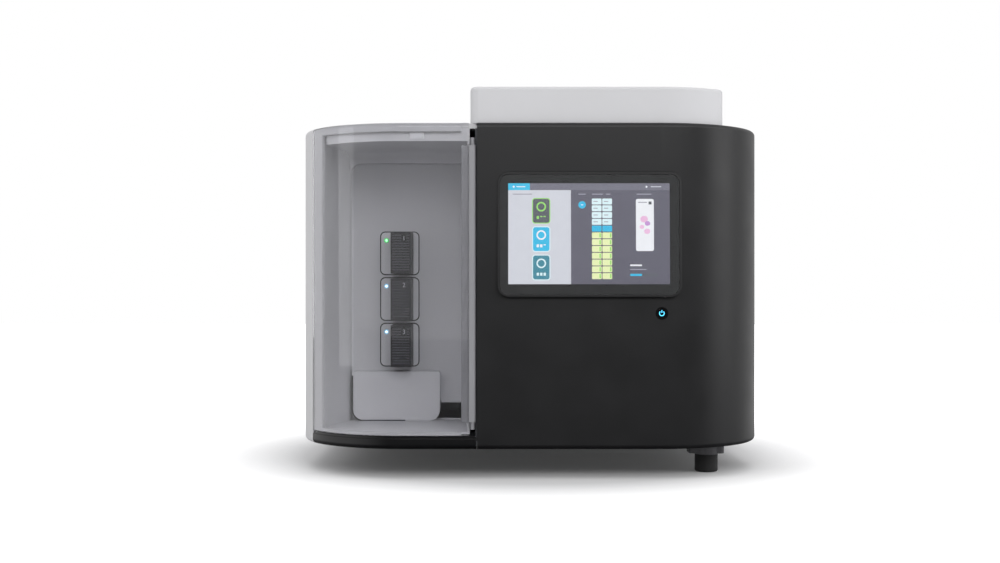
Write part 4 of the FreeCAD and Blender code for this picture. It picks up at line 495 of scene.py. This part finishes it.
def tile(colour, left, top, width, height, radius=0.01, layer=1, hole=0):
    """A tile of the page, in millimetres from its top left corner. Higher layers lie in front."""
    x = (view_x[0] + left, view_x[0] + left + width)
    drop = (view_drop[0] + top, view_drop[0] + top + height)
    near = 1.97 - 0.05 * layer
    gap = None
    if hole:
        gap = rounded((x[0] + hole, x[1] - hole), (drop[0] + hole, drop[1] - hole),
                      max(radius - hole, 0.01))
    add_plate(page, rounded(x, drop, radius), near, near + 0.03, on_screen, colour_slots[colour],
              gap)


tile("slate", 0, 0, 216.3, 135.4, layer=0)
tile("bar", 0, 0, 216.3, 9.2)
tile("cyan", 0, 0, 29, 9.2, layer=2)
tile("white", 6, 3.2, 2.8, 2.8, 1.39, layer=3)
tile("white", 11, 4, 12, 1.2, 0.5, layer=3)
tile("pale", 0, 9.2, 84, 126.2)
tile("grey", 6, 14, 26, 1.3, 0.6, layer=2)
gauges = (("dark", "green"), ("cyan", "white"), ("teal", "ice"))
for number, (body_colour, ring_colour) in enumerate(gauges):
    top = 21 + 38 * number
    tile(ring_colour if number != 1 else "ice", 32, top - 1.2, 24.4, 34.4, 4.2, layer=2)
    tile(body_colour, 33.2, top, 22, 32, 3.2, layer=3)
    tile(ring_colour, 37.7, top + 4, 13, 13, 6.49, layer=4, hole=2)
    for step in range(3):
        height = 4 if step <= number else 1.4
        tile(ring_colour, 38 + 4.6 * step, top + 23, 3.2, height, 0.5, layer=4)
tile("grey", 112, 14, 15, 1.3, 0.6)
tile("grey", 131, 14, 6, 1.3, 0.6)
for row in range(12):
    for column in range(2):
        left, top = 112 + 14 * column, 20.5 + 9.1 * row
        colour = "ice" if row < 4 else "cyan" if row == 4 else "lime"
        tile(colour, left, top, 13, 8, 1.2)
        if row > 4:
            tile("green", left + 10, top + 1, 2, 6, 0.8, layer=2)
        elif row < 4:
            tile("grey", left + 2, top + 3.4, 6, 1.1, 0.5, layer=2)
tile("cyan", 94, 24, 10, 10, 4.99)
tile("white", 97.5, 28.4, 3, 1.2, 0.5, layer=2)
tile("grey", 94, 14, 10, 1.3, 0.6)
tile("grey", 172, 14, 20, 1.3, 0.6)
tile("white", 171, 21, 24, 70, 2.5)
tile("grey", 174, 25, 12, 1.2, 0.5, layer=2)
tile("dark", 188, 24.5, 4, 4, 0.4, layer=2)
for left, top, across, tone in ((177, 44, 10, "rose"), (183, 51, 7, "violet"), (176, 56, 6, "rose"),
                                (182, 61, 8, "rose")):
    tile(tone, left, top, across, across * 0.86, across * 0.42, layer=2 if tone == "rose" else 3)
tile("white", 163, 109, 16, 2.2, 0.9)
tile("grey", 163, 115, 22, 1.3, 0.6)
tile("dark", 163, 121.5, 38, 3, 1.4)
tile("cyan", 163, 121.5, 16, 3, 1.4, layer=2)
tile("white", 184, 3.4, 2.6, 2.6, 1.29, layer=2)
tile("pale", 191, 4, 14, 1.2, 0.5, layer=2)
screen_page = finish_piece("screen_picture", page, list(picture.values()), "housing", "screen")
print("page tiles make", len(screen_page.data.polygons), "faces")

# %% [markdown]
# ## Lights
# Each port has a round light: green where the rack may be taken out, cool white where it is
# being read. The lens is a low dome.

# %% Status lights
green_light = lit("green light lens", "4CFF70", "B8FFC4", 3.2, patch=1)
white_light = lit("cool white light lens", "8FD0FF", "E6F6FF", 3.4, patch=1)


def turned(shape, profile, centre, axis, steps=48):
    """Turns a profile of (radius, along) in millimetres round an axis through centre."""
    across = Vector((0, 0, 1)) if abs(axis.z) < 0.5 else Vector((1, 0, 0))
    side = axis.cross(across)
    rings = []
    for radius, along in profile:
        if radius < 1e-6:
            rings.append([shape.verts.new((centre + axis * along) * MM)])
            continue
        turns = [math.tau * step / steps for step in range(steps)]
        spokes = [(across * math.cos(turn) + side * math.sin(turn)) * radius for turn in turns]
        rings.append([shape.verts.new((centre + axis * along + spoke) * MM) for spoke in spokes])
    for first, second in zip(rings, rings[1:]):
        for step in range(steps):
            after = (step + 1) % steps
            loop = [first[step % len(first)], first[after % len(first)],
                    second[after % len(second)], second[step % len(second)]]
            shape.faces.new(list(dict.fromkeys(loop)))


outward = Vector((0, -1, 0))
light_x, bay_face = -210.6, -105.0
light_heights = (325.6, 258.3, 191.0)
lens_profile = [(0, -8.4), (1.9, -8.4), (1.9, -0.35), (1.7, 0.1), (1.2, 0.42), (0.6, 0.56),
                (0, 0.6)]
for number, light_z in enumerate(light_heights, start=1):
    lens = bmesh.new()
    turned(lens, lens_profile, Vector((light_x, bay_face, light_z)), outward, 32)
    finish_piece(f"status_light_{number}", lens, [green_light if number == 1 else white_light],
                 "housing", "light_pipe", ["status_lights"] if number == 1 else [])

# %% [markdown]
# ## Painted glow round the lights
# Each light has a painted glow round it on the ports' plate, standing for the halo of light
# round a bright diode. A film thinner than a tenth of a millimetre carries it, and it fades to
# nothing at its edge.

# %% Painted glow round the lights
def bleeding(name, colour, centre, reach):
    """A film with a painted glow round a light, which fades to nothing at its reach, in metres."""
    material, tree, shader = start_material(name, Base_Color=linear("0A0A0C"),
                                            Emission_Color=linear(colour), Emission_Strength=0.9)
    offset = add_node(tree, "ShaderNodeVectorMath", {0: object_point(tree), 1: centre},
                      operation="DISTANCE")
    near = mapped(tree, offset.outputs["Value"], reach, 1.6 * MM, 0, 0.95,
                  interpolation_type="SMOOTHSTEP")
    grain = mapped(tree, noise(tree, 0.5), 0, 1, 0.8, 1.1)
    softer = calculate(tree, "POWER", near, 2.2)
    feed(shader, Alpha=calculate(tree, "MULTIPLY", softer, grain))
    return material


glow_radius = 5.2
for number, light_z in enumerate(light_heights, start=1):
    tone = "58F07C" if number == 1 else "9CD8FF"
    film = bmesh.new()
    turned(film, [(0, 0.02), (glow_radius, 0.02), (glow_radius, 0.08), (0, 0.08)],
           Vector((light_x, bay_face, light_z)), outward)
    # Each film is painted glow: emission laid on the plate round its light.
    glow_paint = bleeding(f"painted glow round light {number}", tone,
                       upright(light_x, light_z, bay_face - 0.05), glow_radius * MM)
    finish_piece(f"port_glow_{number}", film, [glow_paint], "housing", "light_pipe")

# %% [markdown]
# ## Power symbol
# The power button's symbol is a ring with a gap and a bar, as on most switches. It shines on
# a dark disc in the middle of the button, and it moves in and out with it.

# %% Power symbol
symbol_glow = lit("cyan power symbol", "16B8F0", "6FE0FF", 2.4, patch=1)
button_x, button_z, button_face = 174, 222, -292
symbol_near, symbol_far = button_face - 0.06, button_face + 0.1
disc = bmesh.new()
turned(disc, [(0, -0.8), (4.5, -0.8), (4.5, -0.12), (4.38, 0), (0, 0)],
       Vector((button_x, button_face, button_z)), outward, 64)
finish_piece("power_symbol_disc", disc, [satin_black_and_recess_shade], "power_button", "gloss_black",
             ["power_symbol"])
sign = bmesh.new()
arc = [math.radians(90 + 40 + 280 * step / 40) for step in range(41)]
outer, inner = ([(button_x + radius * math.cos(turn), button_z + radius * math.sin(turn))
                 for turn in arc] for radius in (3.7, 2.7))
bar = rounded((button_x - 0.5, button_x + 0.5), (button_z + 0.6, button_z + 4.3), 0.49)
add_plate(sign, outer + inner[::-1], symbol_near, symbol_far)
add_plate(sign, bar, symbol_near, symbol_far)
finish_piece("power_sign", sign, [symbol_glow], "power_button", "light_pipe")
print("lights and symbol are on")

# %% [markdown]
# ## Painted shade round the ports
# Each port's plate sits in the bay's wall with a dark line round it. A ring of dark rubber lies
# in the gap there: it is painted shade, standing for the shadow in the groove.

# %% Painted shade round the ports
port_left, port_right, port_half = -219.2, -162.5, 31.35
groove_shade = bmesh.new()


def port_outline(middle, grown, radius):
    """The outline of a port's plate, grown all round by some millimetres."""
    return rounded((port_left - grown, port_right + grown),
                   (middle - port_half - grown, middle + port_half + grown), radius, 8)


# Each ring is painted shade in the groove round a port's plate.
for middle_z in (306.6, 239.3, 172.0):
    add_plate(groove_shade, port_outline(middle_z, 0.85, 7.8), bay_face - 0.25, bay_face + 2.8,
              hole=port_outline(middle_z, -0.7, 6.3))
finish_piece("port_groove_painted_shade", groove_shade, [rubber], "housing", "rubber")
print("the ports have their seals")

# %% [markdown]
# ## The lower panel's edge
# The bay's lower panel is a separate moulding. A dark rubber strip lies over its left edge and
# round its corner, fills the gap there, and stops halfway along its foot. It is painted shade,
# a dark thing put in the gap where its shadow falls.

# %% Edge strip
panel_low, panel_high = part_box("bay_lower_panel")
left, foot, corner = panel_low.x / MM, panel_low.z / MM, 16.0
shade_line_end = -181.0
bend = [math.radians(180 + 90 * step / 10) for step in range(11)]


def strip_edge(offset):
    """The painted shade line, from the panel's top, down its left edge and along its foot."""
    radius = corner + offset
    turn = [(left + corner + radius * math.cos(angle), foot + corner + radius * math.sin(angle))
            for angle in bend]
    return [(left - offset, panel_high.z / MM - 6), *turn, (shade_line_end, foot - offset)]


# A dark rubber strip in the gap: painted shade where the gap's shadow falls.
strip = bmesh.new()
panel_face = panel_low.y / MM
add_plate(strip, strip_edge(0.5) + strip_edge(-1.6)[::-1], panel_face - 0.5, panel_face + 0.6)
finish_piece("panel_gap_painted_shade", strip, [rubber], "housing", "rubber")
print("the lower panel's strip runs from", round(left, 1), "mm")

# %% [markdown]
# ## Shells with softened edges
# No moulded or bent edge is knife-sharp: the mould's cutter leaves a few tenths of a millimetre.
# That thin round catches the light and is what makes a seam or a rim read. Each large shell
# is a copy of its solid with its points joined and its edges rounded. The flat faces keep
# flat light, because the corners' normals are weighted by face size.

# %% Softened shells
bodies_by_node = {node: body for body, held in frame["record"]["behaviour"]["bodies"].items()
                  for node in held}
slots_by_node = {row["node"]: row["material_slot"] for row in frame["record"]["subparts"]}


def soften(name, width, shrink=0.0, angle=32):
    """Replaces a node by a copy with rounded edges, its faces drawn in by shrink millimetres."""
    shape = bmesh.new()
    shape.from_mesh(nodes[name].data)
    bmesh.ops.remove_doubles(shape, verts=shape.verts, dist=0.003 * MM)
    bmesh.ops.dissolve_limit(shape, angle_limit=math.radians(0.4), verts=shape.verts,
                             edges=shape.edges)
    bmesh.ops.recalc_face_normals(shape, faces=shape.faces)
    shape.normal_update()
    for vertex in shape.verts:
        vertex.co -= vertex.normal * shrink * MM
    draft = bpy.data.meshes.new(name + "_draft")
    shape.to_mesh(draft)
    shape.free()
    for polygon in draft.polygons:
        polygon.use_smooth = True
    draft.set_sharp_from_angle(angle=math.radians(angle))
    carrier = bpy.data.objects.new(name + "_draft", draft)
    scene.collection.objects.link(carrier)
    bevel = carrier.modifiers.new("edge", "BEVEL")
    bevel.width, bevel.segments, bevel.limit_method = width * MM, 2, "ANGLE"
    bevel.angle_limit, bevel.miter_outer = math.radians(angle), "MITER_ARC"
    bevel.use_clamp_overlap = True
    weight = carrier.modifiers.new("weight", "WEIGHTED_NORMAL")
    weight.keep_sharp = True
    mesh = plain_mesh(carrier)
    mesh.materials.clear()
    mesh.materials.append(nodes[name].data.materials[0])
    piece = bpy.data.objects.new(name + "_soft", mesh)
    scene.collection.objects.link(piece)
    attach(piece, bodies_by_node[name])
    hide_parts(name)
    return len(mesh.polygons)


edge_widths = {"front_cover": 0.4, "left_housing": 0.4, "right_panel": 0.4, "top_hood": 0.4,
               "door_rim": 0.4, "door_window": 0.3, "base_trim": 0.3, "bay_liner": 0.5,
               "bay_lower_panel": 0.5, "display_bezel": 0.4, "door_stile": 0.4, "foot_mounts": 0.5}
for name, width in edge_widths.items():
    print(name, soften(name, width, shrink=0.08 if name == "door_window" else 0), "faces")

# %% [markdown]
# ## What repeats
# Ribs and screws repeat by a rule, so each is a small node tree with named sizes. A tree makes
# one of its kind, places it along a line or on a grid, and gives it its material. The result
# is turned into one plain mesh, and the tree goes.

# %% Node tree helpers
def new_tree(name, **sizes):
    """A geometry node tree whose inputs are sizes, with their first values."""
    tree = bpy.data.node_groups.new(name, "GeometryNodeTree")
    for size, value in sizes.items():
        kind = "NodeSocketInt" if isinstance(value, int) else "NodeSocketFloat"
        tree.interface.new_socket(size, in_out="INPUT", socket_type=kind).default_value = value
    tree.interface.new_socket("Geometry", in_out="OUTPUT", socket_type="NodeSocketGeometry")
    given = tree.nodes.new("NodeGroupInput").outputs
    return tree, given


def vector(tree, **axes):
    """A vector whose X, Y and Z are numbers or sockets."""
    return add_node(tree, "ShaderNodeCombineXYZ", axes)


def grow(tree, shape, material, **sizes):
    """Realizes a tree's shape with a material and sizes, and returns it as a plain mesh."""
    real = add_node(tree, "GeometryNodeRealizeInstances", {"Geometry": shape})
    dressed = add_node(tree, "GeometryNodeSetMaterial", {"Geometry": real, "Material": material})
    add_node(tree, "NodeGroupOutput", {"Geometry": dressed})
    carrier = bpy.data.objects.new(tree.name, bpy.data.meshes.new(tree.name))
    scene.collection.objects.link(carrier)
    modifier = carrier.modifiers.new("grow", "NODES")
    modifier.node_group = tree
    for item in tree.interface.items_tree:
        if item.in_out == "INPUT" and item.name in sizes:
            modifier[item.identifier] = sizes[item.name]
    mesh = plain_mesh(carrier)
    bpy.data.node_groups.remove(tree)
    mesh.materials.clear()
    return mesh


# %% [markdown]
# ## Grip ribs
# A finger pulls a rack by its ribbed front. The ribs are half-round bars between the moulded
# grooves, and their tops catch the light. Their plastic is also painted much lighter than the
# rack's, as a painted highlight, which draws the rack as a stack of fine lines.

# %% Grip ribs
# The ribs' colour is a painted highlight: the rack's graphite acetal, painted far lighter.
rib_painted_highlight = moulded("graphite acetal, ribs painted light as highlight", "4A4A51", "58585F", 0.28, grain=0.6, depth=0.008)
rib_pitch, rib_rows, rib_depth, face_depth = 3.8, 14, 1.5, 0.35


def grip_ribs():
    """Half-round bars, one above the other."""
    tree, given = new_tree("grip_ribs", Count=rib_rows, Pitch=rib_pitch * MM, Width=24.6 * MM,
                           Depth=rib_depth * MM, Height=1.7 * MM)
    half = calculate(tree, "MULTIPLY", given["Width"], 0.5)
    other = calculate(tree, "MULTIPLY", half, -1.0)
    bar = add_node(tree, "GeometryNodeCurvePrimitiveLine", {"Start": vector(tree, X=other),
                                                            "End": vector(tree, X=half)})
    circle = add_node(tree, "GeometryNodeCurvePrimitiveCircle", {"Resolution": 14, "Radius": 1.0})
    flat = vector(tree, X=calculate(tree, "MULTIPLY", given["Depth"], 0.5),
                  Y=calculate(tree, "MULTIPLY", given["Height"], 0.5), Z=1.0)
    profile = add_node(tree, "GeometryNodeTransform", {"Geometry": circle, "Scale": flat})
    rib = add_node(tree, "GeometryNodeCurveToMesh", {"Curve": bar, "Profile Curve": profile,
                                                     "Fill Caps": True})
    line = add_node(tree, "GeometryNodeMeshLine", {"Count": given["Count"],
                                                   "Offset": vector(tree, Z=given["Pitch"])})
    stack = add_node(tree, "GeometryNodeInstanceOnPoints", {"Points": line, "Instance": rib})
    return grow(tree, stack, rib_painted_highlight)


mark_ink = moulded("light grey pad print", "B8B8BE", "C6C6CC", 0.5, grain=0.5, depth=0.004)
FIGURE_HEIGHT = 0.7     # as a share of the font's size


def numeral(text, height):
    """A number as a flat mesh, its height in millimetres, round the origin."""
    words = bpy.data.curves.new("numeral", "FONT")
    words.body = text
    words.align_x, words.align_y = "CENTER", "CENTER"
    words.size, words.extrude = height * MM / FIGURE_HEIGHT, 0.04 * MM
    carrier = bpy.data.objects.new("numeral", words)
    scene.collection.objects.link(carrier)
    return plain_mesh(carrier)


for number, body in enumerate(("rack_top", "rack_middle", "rack_bottom"), start=1):
    low, high = (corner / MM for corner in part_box(f"rack_{number}"))
    middle_x, middle_z = (low.x + high.x) / 2, (low.z + high.z) / 2
    face = bmesh.new()
    add_plate(face, rounded((low.x + 1.6, high.x - 1.6), (low.z + 1.4, high.z - 1.4), 1.2),
              low.y - face_depth, low.y + 0.1)
    finish_piece(f"rack_face_{number}", face, [rack_abs], body, "rack_plastic")
    ribs = grip_ribs()
    first = middle_z - rib_pitch * (rib_rows - 1) / 2
    ribs.transform(Matrix.Translation(upright(middle_x, first, low.y - face_depth)))
    finish_mesh(f"grip_ribs_{number}", ribs, [rib_painted_highlight], body, "rack_plastic", smooth=50)
    front, mark_x, mark_z = low.y - face_depth - rib_depth / 2, middle_x + 4.6, high.z - 9.7
    label = bmesh.new()
    add_plate(label, rounded((mark_x - 3.8, mark_x + 3.8), (mark_z - 5.5, mark_z + 5.5), 1.6),
              front - 0.12, low.y)
    finish_piece(f"rack_label_{number}", label, [rack_abs], body, "rack_plastic")
    mark = numeral(str(number), 6.6)
    mark.transform(Matrix.Translation(upright(mark_x, mark_z, front - 0.16))
                   @ Matrix.Rotation(math.radians(90), 4, "X"))
    finish_mesh(f"rack_number_{number}", mark, [mark_ink], body, "pale_rim")
print("racks have faces, ribs and numbers")

# %% [markdown]
# ## Screws
# Eight socket screws hold the rear panel. Each has a tapered head with a hexagon socket,
# 2.5 mm across its flats. The tree makes two columns of points and puts a head on each.

# %% Screws
def screw_heads():
    """Socket-head screws on two columns of a grid, their heads facing the rear."""
    radius, height, rows = 3.5 * MM, 3 * MM, 4
    tree, given = new_tree("screw_heads", Rows=rows, Radius=radius, Height=height,
                           Socket=1.45 * MM, Depth=1.6 * MM, Rise=130 * MM, Spread=469 * MM)
    narrow = calculate(tree, "MULTIPLY", given["Radius"], 0.86)
    body = add_node(tree, "GeometryNodeMeshCone", {
        "Vertices": 48, "Side Segments": 1, "Radius Bottom": given["Radius"], "Radius Top": narrow,
        "Depth": given["Height"]})
    hexagon = add_node(tree, "GeometryNodeMeshCylinder", {"Vertices": 6, "Radius": given["Socket"],
                                                          "Depth": given["Depth"]})
    sunk = calculate(tree, "MULTIPLY", given["Depth"], -0.4)
    lift = calculate(tree, "ADD", given["Height"], sunk)
    socket = add_node(tree, "GeometryNodeTransform", {"Geometry": hexagon.outputs["Mesh"],
                                                      "Translation": vector(tree, Z=lift)})
    head = add_node(tree, "GeometryNodeMeshBoolean", {"Mesh 1": body.outputs["Mesh"],
                                                      "Mesh 2": socket}, operation="DIFFERENCE")
    turned_head = add_node(tree, "GeometryNodeTransform", {"Geometry": head.outputs["Mesh"],
                                                           "Rotation": (math.radians(-90), 0, 0)})
    column = add_node(tree, "GeometryNodeMeshLine", {"Count": given["Rows"],
                                                     "Offset": vector(tree, Z=given["Rise"])})
    pair = add_node(tree, "GeometryNodeMeshLine", {"Count": 2,
                                                   "Offset": vector(tree, X=given["Spread"])})
    columns = add_node(tree, "GeometryNodeInstanceOnPoints", {"Points": pair, "Instance": column})
    points = add_node(tree, "GeometryNodeRealizeInstances", {"Geometry": columns})
    heads = add_node(tree, "GeometryNodeInstanceOnPoints", {"Points": points,
                                                            "Instance": turned_head})
    low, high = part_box("cover_screws")
    mesh = grow(tree, heads, nickel, Spread=high.x - low.x - 2 * radius,
                Rise=(high.z - low.z - 2 * radius) / (rows - 1))
    mesh.transform(Matrix.Translation((low.x + radius, high.y - height, low.z + radius)))
    return mesh


screws = screw_heads()
finish_mesh("socket_screws", screws, [nickel], "housing", slots_by_node["cover_screws"],
            ["cover_screws"], smooth=30)
print("screws:", len(screws.polygons), "faces")

# %% [markdown]
# ## Floor and background
# The floor is plain and pale, under a white background. White is what the camera is shown
# there, so no light is spent on it: the floor glows for the camera alone, and less and less
# towards the scanner. That dimming is painted shade round the scanner, on top of the real
# shadow that the lamps cast under it. What a glossy face mirrors is dark ahead and pale above,
# behind and to the left. Floor and background share that, so no horizon shows in the door.
# Near the scanner the floor in those mirrors is dimmed too, as painted shade.

# %% Floor and background
def mirrored_light(tree, direction):
    """What a glossy face mirrors in a direction: the greatest of a few even slopes."""
    parts = add_node(tree, "ShaderNodeSeparateXYZ", {"Vector": direction}).outputs
    brightness = 0.1
    for axis, *span in (("Y", -0.2, 0.5, 0.0, 0.75), ("Z", -0.05, 0.45, 0.02, 0.7),
                        ("X", -0.3, -0.9, 0.0, 0.8)):
        brightness = calculate(tree, "MAXIMUM", mapped(tree, parts[axis], *span), brightness)
    return brightness


white = linear("FFFFFF")
floor_mesh = bpy.data.meshes.new("floor")
floor_mesh.from_pydata([(-6, -5, 0), (6, -5, 0), (6, 7, 0), (-6, 7, 0)], [], [(0, 1, 2, 3)])
floor = bpy.data.objects.new("floor", floor_mesh)
scene.collection.objects.link(floor)
floor_paint, tree, shader = start_material("pale studio floor", Roughness=0.85,
                                           Emission_Color=white)
rays = add_node(tree, "ShaderNodeLightPath").outputs
pale = mix(tree, noise(tree, 900), linear("E2E2E3"), linear("E8E8E9"))
base = mix(tree, rays["Is Glossy Ray"], pale, linear("000000"))
shaded_to, bright_from = 0.34, 0.66
away = add_node(tree, "ShaderNodeVectorMath", {"Vector": object_point(tree)}, operation="LENGTH")
# Dimming the glow near the scanner paints shade round it, for the camera and in mirrors.
glow_with_painted_shade = mapped(tree, away.outputs["Value"], shaded_to, bright_from, 0.03, 1.0)
back_along = add_node(tree, "ShaderNodeNewGeometry").outputs["Incoming"]
along = add_node(tree, "ShaderNodeVectorMath", {0: back_along, "Scale": -1.0}, operation="SCALE")
mirrored = calculate(tree, "MULTIPLY", mirrored_light(tree, along), glow_with_painted_shade)
in_mirrors = calculate(tree, "MULTIPLY", mirrored, rays["Is Glossy Ray"])
seen = mix(tree, rays["Is Camera Ray"], in_mirrors, glow_with_painted_shade, "FLOAT")
feed(shader, Base_Color=base, Emission_Strength=seen)
floor_mesh.materials.append(floor_paint)

world = bpy.data.worlds.new("studio")
world.use_nodes = True
scene.world = world
tree = world.node_tree
rays = add_node(tree, "ShaderNodeLightPath").outputs
direction = add_node(tree, "ShaderNodeTexCoord").outputs["Generated"]
open_view = calculate(tree, "MAXIMUM", rays["Is Camera Ray"], rays["Is Transmission Ray"])
around = mix(tree, rays["Is Glossy Ray"], 0.58, mirrored_light(tree, direction), "FLOAT")
background = tree.nodes["Background"]
background.inputs["Color"].default_value = white
feed(background, Strength=mix(tree, open_view, around, 1.0, "FLOAT"))

# %% [markdown]
# ## Lamps
# The lamps are soft boxes: a wide one overhead, one in front and above, one on the right
# and a weak one on the left. The first and the last would show as hard bands in the door, so
# they are hidden from what is glossy.

# %% Lamps
def soft_box(name, size, power, place, target, mirrored_too=False):
    """A rectangular lamp, turned to face a point. A glossy face may mirror it or not."""
    lamp = bpy.data.objects.new(name, bpy.data.lights.new(name, "AREA"))
    lamp.data.shape = "RECTANGLE"
    lamp.data.size, lamp.data.size_y = size
    lamp.data.energy = power
    lamp.location = place
    lamp.rotation_euler = (Vector(target) - Vector(place)).to_track_quat("-Z", "Y").to_euler()
    scene.collection.objects.link(lamp)
    lamp.visible_glossy = mirrored_too


middle = (0, 0, 0.26)
soft_box("overhead soft box", (2.2, 1.6), 15, (0, 0.1, 2.2), middle)
soft_box("front soft box", (2.6, 0.9), 21, (0.6, -2.45, 1.4), middle, mirrored_too=True)
soft_box("right soft box", (1.2, 1.8), 14, (2.4, -0.7, 0.9), middle, mirrored_too=True)
soft_box("left soft box", (0.8, 1.6), 8, (-2.2, -0.9, 0.8), middle)
